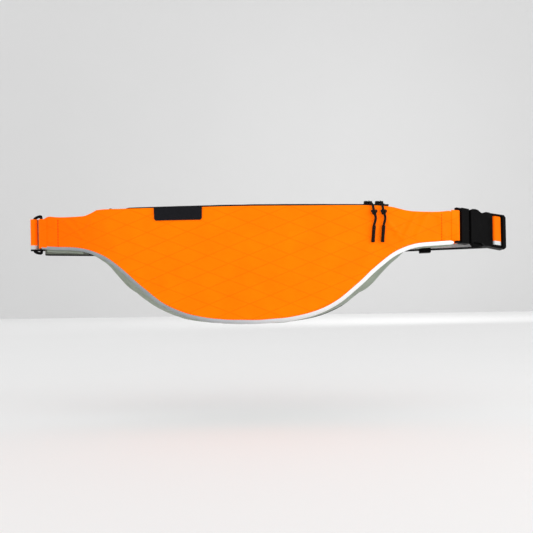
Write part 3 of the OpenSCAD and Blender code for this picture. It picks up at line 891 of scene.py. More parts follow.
class PackSizes(bpy.types.PropertyGroup):
    """Sizes of the details that the CAD model leaves open."""

    grid_width: length("Grid width", "Width of one diamond of the laminate's yarn grid", 51.2)
    grid_height: length("Grid height", "Height of one diamond of the laminate's yarn grid", 20.4)
    tooth_pitch: length("Tooth pitch", "Distance from one turn of the zip's coil to the next", 1.45)
    pad_swell: length("Pad swell", "The furthest that a padded panel's cover may rise", 2.6)
    mould_edge: length("Mould edge", "Radius on the edges of moulded parts", 0.75)


def colour(name, description, default):
    return bpy.props.FloatVectorProperty(name=name, description=description, subtype="COLOR", default=default)


class PackColours(bpy.types.PropertyGroup):
    """Colours of the finishes, as linear values. A finish varies softly from its deep to its light one."""

    laminate_deep: colour("Laminate, deep", "The front's orange where it is deepest", (1.0, 0.18, 0.0))
    laminate_light: colour("Laminate, light", "The front's orange where it is lightest", (1.0, 0.235, 0.0))
    yarn: colour("Yarn", "Colour of the laminate's yarns", (0.95, 0.11, 0.0))
    gusset_deep: colour("Gusset, deep", "The grey-green laminate where it is deepest", (0.22, 0.26, 0.205))
    gusset_light: colour("Gusset, light", "The grey-green laminate where it is lightest", (0.32, 0.36, 0.29))
    # The film colour is the silver edge's brightest tone, where a painted highlight lies on it towards the
    # right.
    film: colour("Film", "Colour of the silver edge where it is clean", (0.93, 0.94, 0.95))
    plastic_deep: colour("Plastic, deep", "The hardware's black where it is deepest", (0.003, 0.003, 0.0031))
    plastic_light: colour(
        "Plastic, light", "The hardware's black where it is lightest", (0.0055, 0.0054, 0.0056))


def sizes():
    return bpy.context.scene.pack_sizes


def colours():
    return bpy.context.scene.pack_colours


# ---------------------------------------------------------------- stage and camera
def area_light(name, place, aim, size, power):
    data = bpy.data.lights.new(name, "AREA")
    data.shape = "RECTANGLE"
    data.size, data.size_y = size
    data.energy = power
    obj = placed(name, data)
    obj.location = place
    obj.rotation_euler = (Vector(aim) - Vector(place)).to_track_quat("-Z", "Y").to_euler()


class PACK_OT_stage(bpy.types.Operator):
    """Camera, floor, backdrop and soft lights"""
    bl_idname = "pack.stage"
    bl_label = "Stage"

    def execute(self, context):
        scene = context.scene
        scene.view_settings.view_transform = "Standard"
        data = bpy.data.cameras.new("camera")
        data.lens = 51.3
        data.sensor_width = 36
        data.shift_y = 0.061
        camera = placed("camera", data)
        camera.location = (0.021, -1.005, -0.086)
        camera.rotation_euler = (math.radians(90), math.radians(0.85), 0)
        scene.camera = camera
        world = bpy.data.worlds.new("studio")
        world.use_nodes = True
        sky = world.node_tree.nodes["Background"].inputs
        sky["Color"].default_value = (1, 1, 1, 1)
        sky["Strength"].default_value = 1.0
        scene.world = world
        area_light("key", (1.3, -0.8, 0.35), (0.1, 0, -0.03), (0.7, 1.0), 5)
        area_light("wall_glow", (1.0, 3.6, 1.2), (0.4, 6.3, 0.2), (1.5, 1.5), 12)
        for name, place, turn in (("floor", (0, 0.8, -0.24), 0), ("backdrop", (0, 6.3, 6.7), 90)):
            deselect()
            bpy.ops.mesh.primitive_grid_add(x_subdivisions=8, y_subdivisions=8, size=14)
            obj = context.object
            obj.name = name
            obj.rotation_euler = (math.radians(turn), 0, 0)
            obj.location = place
            paint(settle(obj), name)
        return {"FINISHED"}


# ---------------------------------------------------------------- zip pulls
CORD_D = 1.6 * MM
CORD_SPREAD = 0.82 * MM     # each of a pull's two strands lies this far beside the route
CROWN = Vector((0, 7.5, 35.2)) * MM     # the middle of the slider's bar, in the route's frame
CROWN_TOP = 35.25 * MM                  # and its height on the pack
SLEEVE_L = 21.5 * MM
SLEEVE_R = 2.3 * MM
CORD_ROUTE = (
    (1.5, 5.8, 35.2), (1.5, 4.4, 35.4), (1.6, 2.8, 35.3), (1.8, 1.2, 34.7), (2, -0.4, 33.5),
    (2.1, -1.7, 31.8), (2.2, -2.8, 29.6), (2.4, -3.4, 27), (2.8, -3.8, 24.2), (3.3, -4, 21.6),
    (4.2, -4.1, 18.8), (5, -4.1, 15.6), (5, -4.1, 12.4), (4.3, -4, 9.2), (3.5, -4, 6.8), (3.1, -4, 5),
)
STRANDS = {"near": -1, "far": 1}
PULLS = {"left": (152.4 * MM, 1.9 * MM), "right": (167.0 * MM, -0.5 * MM)}


def pull_frame(side):
    """The slider's frame, in which the cord's route is given, and how far the pull hangs aside."""
    x, aside = PULLS[side]
    turn = math.asin(x / FRONT_R)
    at_centre = Matrix.Translation((0, ARC_Y, 0)) @ Matrix.Rotation(turn, 4, "Z")
    at_front = at_centre @ Matrix.Translation((0, -FRONT_R, 0))
    return at_front @ Matrix.Translation(Vector((0, ZIP_IN, CROWN_TOP)) - CROWN), aside


def hung(p, aside):
    """A point of the route in metres, moved aside as far as it hangs below the slider."""
    return Vector((p[0] * MM + aside * smooth((35 - p[2]) / 6), p[1] * MM, p[2] * MM))


def strand_path(side, strand):
    """One of the two strands that lie side by side along a pull's route."""
    matrix, aside = pull_frame(side)
    shift = Vector((STRANDS[strand] * CORD_SPREAD, 0, 0))
    return [matrix @ (p + shift) for p in smooth_path([hung(p, aside) for p in CORD_ROUTE], 2)]


class PACK_OT_cords(bpy.types.Operator):
    """Two strands of cord from each slider down to its end sleeve"""
    bl_idname = "pack.cords"
    bl_label = "Pull cords"

    def execute(self, context):
        for side in PULLS:
            for strand in STRANDS:
                obj = as_mesh(tube(strand_path(side, strand), CORD_D / 2, "strand"))
                finish_piece(obj, f"cord_{side}_{strand}", f"pull_{side}", "cord", [f"pull_cord_{side}"],
                             angle=60)
        return {"FINISHED"}


def trefoil(radius, flat, steps=48):
    """Points of a trefoil knot that lies across the cord."""
    out = []
    for i in range(steps):
        t = math.tau * i / steps
        out.append(Vector(((math.sin(t) + 2 * math.sin(2 * t)) * radius / 3, math.sin(3 * t) * flat,
                           (math.cos(t) - 2 * math.cos(2 * t)) * radius / 3)))
    return out


class PACK_OT_pull_ends(bpy.types.Operator):
    """The loop round each slider's bar, the knot below it and the moulded end sleeve"""
    bl_idname = "pack.pull_ends"
    bl_label = "Pull ends"

    def execute(self, context):
        for side in PULLS:
            matrix, aside = pull_frame(side)
            ring = []
            for i in range(16):
                a = math.tau * i / 16
                ring.append(CROWN + Vector((1.5 * MM + 0.35 * MM * math.sin(a * 2), 1.62 * MM * math.cos(a),
                                            1.62 * MM * math.sin(a))))
            knot_at = hung(CORD_ROUTE[9], aside)
            parts = [as_mesh(tube([matrix @ p for p in ring], CORD_D * 0.38, "eye", closed=True))]
            wide = Matrix.Diagonal((1.3, 1.0, 0.95, 1))
            parts.append(as_mesh(tube([matrix @ (knot_at + wide @ p) for p in trefoil(2.95 * MM, 1.3 * MM)],
                                      CORD_D * 0.58, "knot", closed=True)))
            obj = joined(parts)
            finish_piece(obj, f"knot_{side}", f"pull_{side}", "cord", [f"pull_tie_{side}"], angle=60)
            obj = self.sleeve(matrix @ Matrix.Translation(hung(CORD_ROUTE[-1], aside)))
            finish_piece(obj, f"end_sleeve_{side}", f"pull_{side}", "sleeve", [f"pull_sleeve_{side}"],
                         angle=50)
            for strand in STRANDS:
                path = strand_path(side, strand)
                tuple(path[0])
                path_lengths(path)[-1]
        return {"FINISHED"}

    def sleeve(self, matrix):
        """A moulded sleeve with a waist, rounded ends and three grip rings."""
        r, length = SLEEVE_R, SLEEVE_L
        profile = [(0, 0), (r * 0.62, 0), (r * 0.8, -0.25 * MM), (r * 0.9, -0.8 * MM)]
        for i in range(1, 24):
            t = i / 24
            waist = 1 - 0.10 * math.sin(math.pi * t)
            groove = 0.0
            for at in (0.78, 0.84, 0.90):
                groove += 0.07 * math.exp(-((t - at) / 0.012) ** 2)
            profile.append((r * (waist - groove), -0.8 * MM - t * (length - 1.6 * MM)))
        profile += [(r * 0.97, -length + 0.5 * MM), (r * 0.8, -length + 0.1 * MM), (0, -length)]
        return lathe(profile, matrix @ Matrix.Rotation(math.radians(5), 4, "Y")
                     @ Matrix.Translation((0, 0, -0.25 * MM)), 24)


# ---------------------------------------------------------------- the front
def shoulder_lift(s):
    """The left shoulder is squarer than the outline: how much higher the top edge is there."""
    knots = ((-0.211, 0), (-0.2085, 0.4), (-0.194, 4.3), (-0.180, 1.9), (-0.165, 0.6), (-0.14, 0))
    for (s0, h0), (s1, h1) in zip(knots, knots[1:]):
        if s0 <= s <= s1:
            return mix(h0, h1, (s - s0) / (s1 - s0)) * MM
    return 0.0


class PACK_OT_front_panel(bpy.types.Operator):
    """Laminate front: one sheet with its fullness, creases and the folded ends round the bars"""
    bl_idname = "pack.front_panel"
    bl_label = "Front panel"

    def execute(self, context):
        end = arc_s(SHEET_END - 0.4 * MM)
        edge = Outline("front_shell", -end, end, FRONT_MIDDLE)

        def place(u, v):
            s = mix(-end, end, u)
            low, high = edge.at(s, 0), edge.at(s, 1) + shoulder_lift(s)
            z = mix(low, high, v)
            return on_arc(s, z, FRONT_MIDDLE - front_bulge(s, z, low, high))

        obj = sheet_mesh(420, 96, place)
        low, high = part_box("front_shell")
        cloth(obj, "front_panel", "laminate", "front_shell", 1.1 * MM, 0.35 * MM, arc_uv)
        self.end_loop("right", 1, BUCKLE, 20.15, 19.65)
        self.end_loop("left", -1, LADDER, 17.5, 20.0)
        for name, s, color, width in (("left", -0.2457, "red", 1.0), ("right", 0.2477, "orange", 0.7)):
            low, high = edge.at(s, 0) + 1.5 * MM, edge.at(s, 1) - 1.5 * MM
            path = [on_arc(s, mix(low, high, i / 24), 0) for i in range(25)]
            path = [on_arc(s, p.z, FRONT_MIDDLE - 0.56 * MM - front_bulge(s, p.z, low, high)) for p in path]
            stitches("end_stitches_" + name, [on_front(path)], "pack", color, 3.1, 0.4, width)
        return {"FINISHED"}

    def end_loop(self, name, side, bar, below, above):
        """The wing's end cloth, folded round its bar and back."""
        s = side * arc_s(SHEET_END)
        z0 = (bar @ Vector((0, 0, 0))).z
        reach = (above - below) / 2 * MM
        out = unit(on_arc(s, 0) - on_arc(s - side * 1 * MM, 0))
        front = on_arc(s - side * 5 * MM, z0 + reach, 0.05 * MM)
        centre = bar @ Vector((0, 0, reach))
        normal = unit((on_arc(s, 0) - Vector((0, ARC_Y, 0))))
        path = [front, on_arc(s, z0 + reach, 0.05 * MM)]
        for i in range(13):
            a = math.radians(90 - 15 * i)
            path.append(centre + (normal * math.sin(a) + out * math.cos(a)) * 2.9 * MM)
        path.append(centre - normal * 2.9 * MM - out * 3.2 * MM)
        height = (below + above) * MM
        lean = bar.to_3x3() @ Vector((0, 0, 1))

        def across(t):
            return Vector((0, 0, 1)).lerp(lean, smooth(t * 2.2))

        obj = ribbon(path, height, 1.1 * MM, across, rows=14, step=0.7 * MM)
        set_uv(obj, face_uv)
        finish_piece(obj, "end_loop_" + name, "pack", "laminate", ["front_shell"])


class PACK_OT_edge_strip(bpy.types.Operator):
    """Silver film folded over the lower edge of the front"""
    bl_idname = "pack.edge_strip"
    bl_label = "Silver edge"

    def execute(self, context):
        end = arc_s(TRIM_END - 0.3 * MM)
        edge = Outline("reflective_edge", -end, end, 1.2 * MM)

        def place(u, v):
            s = mix(-end - 4.6 * MM, end, u)
            nose = 4.5 * MM if s > 0 else 0.0
            taper = math.sqrt(max(0.0, 1 - max(0.0, (s - end + nose) / nose) ** 2)) if nose else 1.0
            narrow = 0.26 + 0.26 * smooth(-s / 0.12)
            low, high = mix(edge.at(s, 0), edge.at(s, 1), narrow), edge.at(s, 1) + 0.5 * MM
            z = mix(low, high, 0.5 + (v - 0.5) * max(0.08, taper))
            crown = math.sin(math.pi * v)
            uneven = 0.16 * MM * ripple(s, z, 0.012, 3) + 0.22 * MM * ripple(s, 0, 0.03, 7)
            depth = 1.15 * MM - (0.55 * MM + uneven) * crown
            return on_arc(s, z + 0.3 * MM * ripple(s, 0, 0.02, 9), depth)

        obj = sheet_mesh(520, 10, place)
        thicken(obj, 2.3 * MM, rim=0.7 * MM, segments=3)
        set_uv(obj, arc_uv)
        finish_piece(obj, "silver_edge", "pack", "edge_strip", ["reflective_edge"])
        path = []
        for i in range(301):
            s = mix(-end + 6 * MM, end - 6 * MM, i / 300)
            z = edge.at(s, 1) + 1.5 * MM
            path.append(on_arc(s, z, FRONT_MIDDLE - 0.58 * MM - front_bulge(s, z, edge.at(s, 1), TOP_RISE)))
        stitches("edge_stitches", [on_front(path)], "pack", "orange", 2.6, 1.0, 0.42)
        return {"FINISHED"}


class PACK_OT_label(bpy.types.Operator):
    """Blank moulded patch with a raised border, sewn on near the zip"""
    bl_idname = "pack.label"
    bl_label = "Label patch"

    def execute(self, context):
        low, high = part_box("label_patch")
        left, right = arc_s(low.x) - 0.9 * MM, arc_s(high.x) + 1.0 * MM
        top, bottom = high.z + 0.9 * MM, low.z + 0.3 * MM

        def inside(u, v):
            """The patch tapers a little downwards and its lower corners are rounded."""
            s = mix(left, right, u)
            z = mix(bottom, top, v)
            squeeze = smooth((bottom + 3.4 * MM - z) / (3.4 * MM))
            middle = (left + right) / 2
            return middle + (s - middle) * (1 - 0.055 * squeeze ** 2 - 0.012 * (1 - v)), z

        def place(u, v):
            s, z = inside(u, v)
            rim = min(min(u, 1 - u) * (right - left), min(v, 1 - v) * (top - bottom))
            border = math.exp(-((rim - 1.15 * MM) / (0.42 * MM)) ** 2)
            panel = smooth((rim - 2.2 * MM) / (0.5 * MM))
            return on_arc(s, z, -1.55 * MM - 0.38 * MM * border - 0.16 * MM * panel)

        obj = sheet_mesh(150, 44, place)
        thicken(obj, 0.9 * MM, offset=-1, rim=0.2 * MM)
        set_uv(obj, arc_uv)
        finish_piece(obj, "label_plate", "pack", "label", ["label_patch"])
        corners = [(0.036, 0.93), (0.036, 0.24), (0.075, 0.09), (0.925, 0.09), (0.964, 0.24), (0.964, 0.93),
                   (0.036, 0.93)]
        path = []
        for (u0, v0), (u1, v1) in zip(corners, corners[1:]):
            for i in range(12):
                s, z = inside(mix(u0, u1, i / 12), mix(v0, v1, i / 12))
                path.append(on_arc(s, z, -1.62 * MM))
        stitches("label_stitches", [on_front(path)], "pack", "black", 2.2, 0.9, 0.4)
        return {"FINISHED"}


class PACK_OT_gusset(bpy.types.Operator):
    """Grey-green underside between the front and the back panel, puckered along both seams"""
    bl_idname = "pack.gusset"
    bl_label = "Bottom gusset"

    def execute(self, context):
        tree = cad_tree("bottom_gusset")
        low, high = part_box("bottom_gusset")
        count = 220
        columns = []
        for i in range(count + 1):
            x = mix(low.x + 1.2 * MM, high.x - 1.2 * MM, i / count)
            hits = []
            for k in range(121):
                y = mix(low.y, high.y, k / 120)
                hit = tree.ray_cast(Vector((x, y, -0.3)), Vector((0, 0, 1)))[0]
                if hit:
                    hits.append(hit)
            columns.append(hits or columns[-1])
        rows = 26

        def sample(i, v):
            hits = columns[i]
            t = v * (len(hits) - 1)
            k = min(len(hits) - 2, int(t)) if len(hits) > 1 else 0
            return hits[k].lerp(hits[min(len(hits) - 1, k + 1)], t - k)

        grid = [[sample(i, r / rows) for r in range(rows + 1)] for i in range(count + 1)]
        for _ in range(2):
            inner = [[(a + b * 2 + c) / 4 for a, b, c in zip(*grid[i - 1:i + 2])] for i in range(1, count)]
            grid = [grid[0]] + inner + [grid[-1]]

        def place(u, v):
            i, r = round(u * count), round(v * rows)
            p = grid[i][r].copy()
            middle = math.sin(math.pi * v)
            ends = smooth(u / 0.05) * smooth((1 - u) / 0.05)
            wave = math.sin(p.x / (4.1 * MM) + 2.2 * ripple(p.x, 0, 0.03, 2))
            pucker = 1.65 * MM * wave * (1 - middle) * middle
            a, b = grid[max(0, i - 5)][rows // 2], grid[min(count, i + 5)][rows // 2]
            way = Vector((b.z - a.z, 0, a.x - b.x)).normalized()
            full = 1.4 + 5.4 * math.exp(-((p.x - 0.166) / 0.03) ** 2)
            full += 3.6 * math.exp(-((p.x + 0.15) / 0.035) ** 2)
            at = (p.x / MM, v * 50)
            fold = ridge(at, (126, 6), (141, 44), 3.2) + ridge(at, (-158, 8), (-134, 46), 3)
            out = middle * MM * (ends * (full + 1.2 * ripple(p.x, p.y, 0.03, 4)) - 2.6 * fold)
            p += way * out
            p.z += pucker
            return p

        obj = sheet_mesh(count, rows, place)
        length_flat = path_lengths([column[rows // 2] for column in grid])[-1]
        cloth(obj, "underside", "gusset", "bottom_gusset", 0.9 * MM, 0.25 * MM, plan_uv)
        return {"FINISHED"}


# ---------------------------------------------------------------- the padded back
PAD_FRAMES = 14
PAD_PRESSURE = 4.0


def swell(obj, hold, cap):
    """Blows a padded panel up with a cloth simulation, held at its seams, and caps how far each point moves.

    hold(co) is 1 on a seam or sewn channel and 0 in between.
    """
    seams = obj.vertex_groups.new(name="held")
    rest = [v.co.copy() for v in obj.data.vertices]
    held = [hold(co) for co in rest]
    for i, h in enumerate(held):
        seams.add([i], h, "REPLACE")
    only(obj)
    m = obj.modifiers.new("Cloth", "CLOTH")
    m.settings.effector_weights.gravity = 0
    m.settings.use_pressure = True
    m.settings.uniform_pressure_force = PAD_PRESSURE
    m.settings.vertex_group_mass = "held"
    m.settings.quality = 4
    m.settings.tension_stiffness = 12
    m.settings.compression_stiffness = 12
    m.settings.bending_stiffness = 0.4
    m.collision_settings.use_collision = False
    m.point_cache.frame_start = 1
    m.point_cache.frame_end = PAD_FRAMES
    for f in range(1, PAD_FRAMES + 1):
        bpy.context.scene.frame_set(f)
    bpy.ops.object.modifier_apply(modifier=m.name)
    bpy.context.scene.frame_set(1)
    for v, a in zip(obj.data.vertices, rest):
        d = v.co - a
        if d.length > cap:
            v.co = a + d * (cap / d.length)
    obj.vertex_groups.clear()


class PACK_OT_back_padding(bpy.types.Operator):
    """Padded back panel in spacer mesh, with sewn channels, and its lining inside"""
    bl_idname = "pack.back_padding"
    bl_label = "Back padding"

    def edges(self):
        """Lower and upper edge of the back panel at each place along it."""
        tree = cad_tree("back_mesh")
        low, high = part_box("back_mesh")
        out = []
        for i in range(241):
            x = mix(low.x + 0.6 * MM, high.x - 0.6 * MM, i / 240)
            y = back_y(x) - 0.75 * MM
            ends = [tree.ray_cast(Vector((x, y, z)), Vector((0, 0, way)))[0]
                    for z, way in ((-0.3, 1), (0.3, -1))]
            out.append((x, *(hit.z if hit else out[-1][k + 1] for k, hit in enumerate(ends))))
        return out

    def execute(self, context):
        edges = self.edges()

        def edge_at(x):
            t = (x - edges[0][0]) / (edges[-1][0] - edges[0][0]) * 240
            i = min(239, max(0, int(t)))
            return mix(edges[i][1], edges[i + 1][1], t - i), mix(edges[i][2], edges[i + 1][2], t - i)

        def panel(depth, shrink):
            def place(u, v):
                x = mix(edges[0][0], edges[-1][0], u)
                bottom, top = edge_at(x)
                z = mix(bottom + shrink, top - shrink, v)
                return Vector((x, back_y(x) - depth, z))
            return place

        def channel_x(c, z):
            """A channel leans a little: its x at height z."""
            return c + 0.12 * (z + 0.04) * (1 if c > 0 else -1)

        def hold(co):
            bottom, top = edge_at(co.x)
            rim = min(co.z - bottom, top - co.z, co.x - edges[0][0], edges[-1][0] - co.x)
            seam = math.exp(-(max(0.0, rim - 1.4 * MM) / (3.6 * MM)) ** 2)
            for c in BACK_CHANNELS:
                seam = max(seam, math.exp(-((co.x - channel_x(c, co.z)) / (2.1 * MM)) ** 2))
            return min(1.0, seam)

        obj = sheet_mesh(184, 58, panel(2.25 * MM, 0.6 * MM))
        thicken(obj, 4.3 * MM)
        swell(obj, hold, sizes().pad_swell)
        modify(obj, "SUBSURF", levels=1, render_levels=1)
        for v in obj.data.vertices:
            seam = hold(v.co)
            y = back_y(v.co.x)
            if v.co.y > y - 2 * MM:
                v.co.y -= 0.9 * MM * smooth((seam - 0.5) / 0.5)
        set_uv(obj, face_uv)
        finish_piece(obj, "back_padding", "pack", "mesh", ["back_mesh", "back_foam"], angle=60)
        rows = []
        for c in BACK_CHANNELS:
            path = []
            for i in range(31):
                z = mix(-0.1, 0.024, i / 30)
                x = channel_x(c, z)
                bottom, top = edge_at(x)
                if bottom + 4 * MM < z < top - 3 * MM:
                    path.append(Vector((x, back_y(x) - 0.75 * MM, z)))
            rows.append((path, [Vector((0, 1, 0))] * len(path)))
        stitches("back_stitches", rows, "pack", "grey", 2.6, 1.1, 0.45)

        def lined(u, v):
            return panel(4.95 * MM + 0.2 * MM * ripple(u, v, 0.08, 6), 1.0 * MM)(u, v)

        lining = sheet_mesh(160, 40, lined)
        cloth(lining, "lining_sheet", "lining", "back_lining", 0.5 * MM, 0.0, face_uv)

        def wrap(u, v):
            x = mix(edges[0][0], edges[-1][0], u)
            bottom = edge_at(x)[0]
            off = abs(v - 0.5) * 2
            flat_part = max(0.0, off - FOLD_SHARE) / (1 - FOLD_SHARE)
            if flat_part:
                side, dip = (1 if v <= 0.5 else -1), 0.0
            else:
                side, dip = math.sin(math.pi * (0.5 - v)), 1 - (off / FOLD_SHARE) ** 2
            y = back_y(x) - 2.65 * MM + 3.15 * MM * min(1, max(-1, side * 1.15))
            z = bottom - 1.25 * MM * dip + 3.4 * MM * flat_part
            return Vector((x, y, z + 0.12 * MM * ripple(x, v, 0.01, 8)))

        binding = sheet_mesh(300, 16, wrap, (0.5, 16 * MM))
        thicken(binding, 0.6 * MM)
        finish_piece(binding, "edge_binding", "pack", "tape", ["back_binding"], angle=60)
        return {"FINISHED"}


class PACK_OT_wing_pads(bpy.types.Operator):
    """Padded backs of the two wings"""
    bl_idname = "pack.wing_pads"
    bl_label = "Wing pads"

    def execute(self, context):
        for name, side in (("left", -1), ("right", 1)):
            node = "wing_back_" + name
            low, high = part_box(node)
            a, b = sorted((arc_s(low.x + 0.5 * MM), arc_s(high.x - 0.5 * MM)))
            edge = Outline(node, a, b, 4.45 * MM, 80)

            def place(u, v, edge=edge, a=a, b=b):
                s = mix(a, b, u)
                return on_arc(s, mix(edge.at(s, 0) + 0.5 * MM, edge.at(s, 1) - 0.5 * MM, v), 4.5 * MM)

            def hold(co, edge=edge, a=a, b=b):
                s = FRONT_R * math.atan2(co.x, ARC_Y - co.y)
                rim = min(co.z - edge.at(s, 0), edge.at(s, 1) - co.z, s - a, b - s)
                if Vector((co.x, co.y - ARC_Y, 0)).length > FRONT_R - 3.6 * MM:
                    return 1.0
                middle = math.exp(-((co.z - 2 * MM) / (1.7 * MM)) ** 2)
                return min(1.0, max(middle, math.exp(-(max(0.0, rim - 1.2 * MM) / (2.6 * MM)) ** 2)))

            obj = sheet_mesh(52, 40, place)
            thicken(obj, 3.3 * MM)
            swell(obj, hold, sizes().pad_swell * 0.7)
            modify(obj, "SUBSURF", levels=1, render_levels=1)
            set_uv(obj, arc_uv)
            finish_piece(obj, "wing_pad_" + name, "pack", "gusset", [node], angle=60)
        return {"FINISHED"}


class PACK_OT_inside(bpy.types.Operator):
    """Top panel behind the zip and the open pocket on the lining"""
    bl_idname = "pack.inside"
    bl_label = "Top panel and pocket"

    def execute(self, context):
        low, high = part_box("top_panel")
        end = arc_s(high.x - 0.4 * MM)

        def place(u, v):
            s = mix(-end, end, u)
            front = on_arc(s, TAPE_Z, ZIP_IN + 5.6 * MM)
            back = Vector((front.x, back_y(front.x) - 5.4 * MM, 0))
            p = Vector((front.x, mix(front.y, back.y, v), TAPE_Z + 0.05 * MM))
            p.z -= math.sin(math.pi * v) * (0.9 * MM + 0.5 * MM * ripple(p.x, p.y, 0.03, 11))
            return p

        obj = sheet_mesh(160, 14, place)
        cloth(obj, "top_cloth", "gusset", "top_panel", 0.8 * MM, 0.2 * MM, plan_uv)

        low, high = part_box("inner_pocket")

        def pocket(u, v):
            rim = min(u, 1 - u, v * 0.6) * 160
            rise = math.sqrt(min(1.0, rim / 7.0)) if rim > 0 else 0.0
            x = mix(low.x + 0.6 * MM, high.x - 0.6 * MM, u)
            z = mix(low.z + 0.6 * MM, high.z - 0.4 * MM, v)
            sag = 1.1 * MM * math.sin(math.pi * u) * smooth(v * 1.5) + 0.5 * MM * ripple(x, z, 0.03, 13)
            y = mix(high.y - 0.7 * MM, low.y + 0.9 * MM, rise)
            return Vector((x, max(low.y + 0.4 * MM, y + sag * rise * 0.5), z))

        obj = sheet_mesh(90, 50, pocket)
        cloth(obj, "pocket_cloth", "lining", "inner_pocket", 0.6 * MM, 0.0, face_uv)
        return {"FINISHED"}


# ---------------------------------------------------------------- the zip
class PACK_OT_zip(bpy.types.Operator):
    """Zip tapes, the two rows of coil and the end stops"""
    bl_idname = "pack.zip"
    bl_label = "Zip"

    def execute(self, context):
        end = arc_s(ZIP_END + 2.8 * MM)
        # (depth behind the front's face, height over the tape), from the zip's middle up to the top seam
        profile = [(d * MM, TAPE_Z + z * MM) for d, z in (
            (6.75, 0.3), (4.5, 0.3), (3.4, 0.3), (2.5, 0.35), (2.0, 0.75), (1.85, 1.5), (1.8, 2.4))]

        def front(u, v):
            t = v * (len(profile) - 1)
            i = min(len(profile) - 2, int(t))
            (d0, z0), (d1, z1) = profile[i], profile[i + 1]
            s = mix(-end, end, u)
            lift = 0.22 * ripple(s, 0, 0.02, 17) + 0.9 * math.exp(-(s / 0.1) ** 2)
            lift -= 2.1 * smooth((-0.15 - s) / 0.012)
            return on_arc(s, mix(z0, z1, t - i) + lift * MM * smooth(v * 2 - 1), mix(d0, d1, t - i))

        obj = sheet_mesh(240, 12, front, (2 * end, 9 * MM))
        thicken(obj, 0.5 * MM)
        finish_piece(obj, "front_tape", "pack", "tape", ["zip_tape_front"], angle=50)

        def rear(u, v):
            s = mix(-end, end, u)
            return on_arc(s, TAPE_Z + 0.3 * MM + 0.1 * MM * ripple(s, v, 0.02, 19),
                          mix(ZIP_IN + 0.75 * MM, ZIP_IN + 5.9 * MM, v))

        obj = sheet_mesh(240, 6, rear, (2 * end, 5.2 * MM))
        thicken(obj, 0.5 * MM)
        finish_piece(obj, "rear_tape", "pack", "tape", ["zip_tape_rear"], angle=50)
        for name, way in (("front", -1), ("rear", 1)):
            self.coil(name, way)
        for name, way in (("left", -1), ("right", 1)):
            self.stop(name, way)
        return {"FINISHED"}

    def coil(self, name, way):
        """One tooth is modelled once and repeated along the tape's edge."""
        path = []
        for i in range(9):
            a = math.radians(-100 + 25 * i)
            path.append(Vector((0.36 * math.sin(math.radians(180 * i / 8 - 90)),
                                way * (1.85 - 1.15 * math.cos(a)), 0.52 + 0.46 * math.sin(a))) * MM)
        tooth = as_mesh(tube(path, 0.27 * MM, "tooth", 1))
        pitch = sizes().tooth_pitch
        count = int(2 * arc_s(ZIP_END) / pitch)
        places = []
        for i in range(count):
            s = (i - (count - 1) / 2) * pitch + (pitch / 2 if way > 0 else 0)
            p = on_arc(s, COIL_Z + 0.15 * MM, ZIP_IN)
            places.append(Matrix.Translation(p) @ Matrix.Rotation(s / FRONT_R, 4, "Z"))
        obj = repeated(tooth, places)
        line = [on_arc(mix(-1, 1, i / 80) * arc_s(ZIP_END), COIL_Z + 0.62 * MM, ZIP_IN + way * 1.75 * MM)
                for i in range(81)]
        obj = joined([obj, as_mesh(tube(line, 0.42 * MM, "core", 2))])
        finish_piece(obj, f"{name}_coil", "pack", "coil", [f"zip_coil_{name}"], angle=50)

    def stop(self, name, way):
        """A moulded stop clamped over both coils."""
        s = way * arc_s(ZIP_END + 1.6 * MM)
        deselect()
        bpy.ops.mesh.primitive_cube_add(size=1)
        obj = bpy.context.object
        obj.scale = (2.9 * MM, 6.1 * MM, 1.9 * MM)
        obj.location = on_arc(s, COIL_Z + 0.98 * MM, ZIP_IN)
        obj.rotation_euler = (0, 0, s / FRONT_R)
        only(obj)
        bpy.ops.object.transform_apply(location=False, rotation=False, scale=True)
        edit(obj, lambda: bpy.ops.mesh.subdivide(number_cuts=2),
             lambda: bpy.ops.mesh.inset(thickness=0.3 * MM, depth=0))
        modify(obj, "BEVEL", width=0.45 * MM, segments=3, limit_method="ANGLE")
        finish_piece(obj, "zip_stop_" + name, "pack", "coil", ["zip_stops"] if way > 0 else [])


class PACK_OT_sliders(bpy.types.Operator):
    """The two sliders, with eased edges and a domed top plate"""
    bl_idname = "pack.sliders"
    bl_label = "Zip sliders"

    def execute(self, context):
        for side in PULLS:
            obj = refined(f"zip_slider_{side}", 0.28 * MM)
            matrix = pull_frame(side)[0] @ Matrix.Translation(CROWN)
            pads = [rounded_block((long * MM, 4.6 * MM, 3.5 * MM), 1.1 * MM,
                                  matrix @ Matrix.Translation((x * MM, 0, -0.35 * MM)))
                    for x, long in ((-2.5, 5.2), (4.3, 2.2))]
            obj = joined([obj] + pads)
            finish_piece(obj, f"slider_{side}", f"slider_{side}", "zip_metal", [f"zip_slider_{side}"])
        return {"FINISHED"}


# ---------------------------------------------------------------- buckle and hardware
def hard_part(node, edge, name, body):
    """A moulded part of the hardware, its edges eased by the radius edge."""
    finish_piece(refined(node, edge), name, body, "buckle", [node])


def ribs(places, size, name, body):
    """Raised moulded ribs at (x, y, z) in millimetres in the buckle's frame, each a rounded bar of size."""
    size = [n * MM for n in size]
    rib = rounded_block(size, min(size) * 0.42)
    obj = repeated(rib, [BUCKLE @ Matrix.Translation(Vector(p) * MM) for p in places])
    finish_piece(obj, name, body, "buckle")


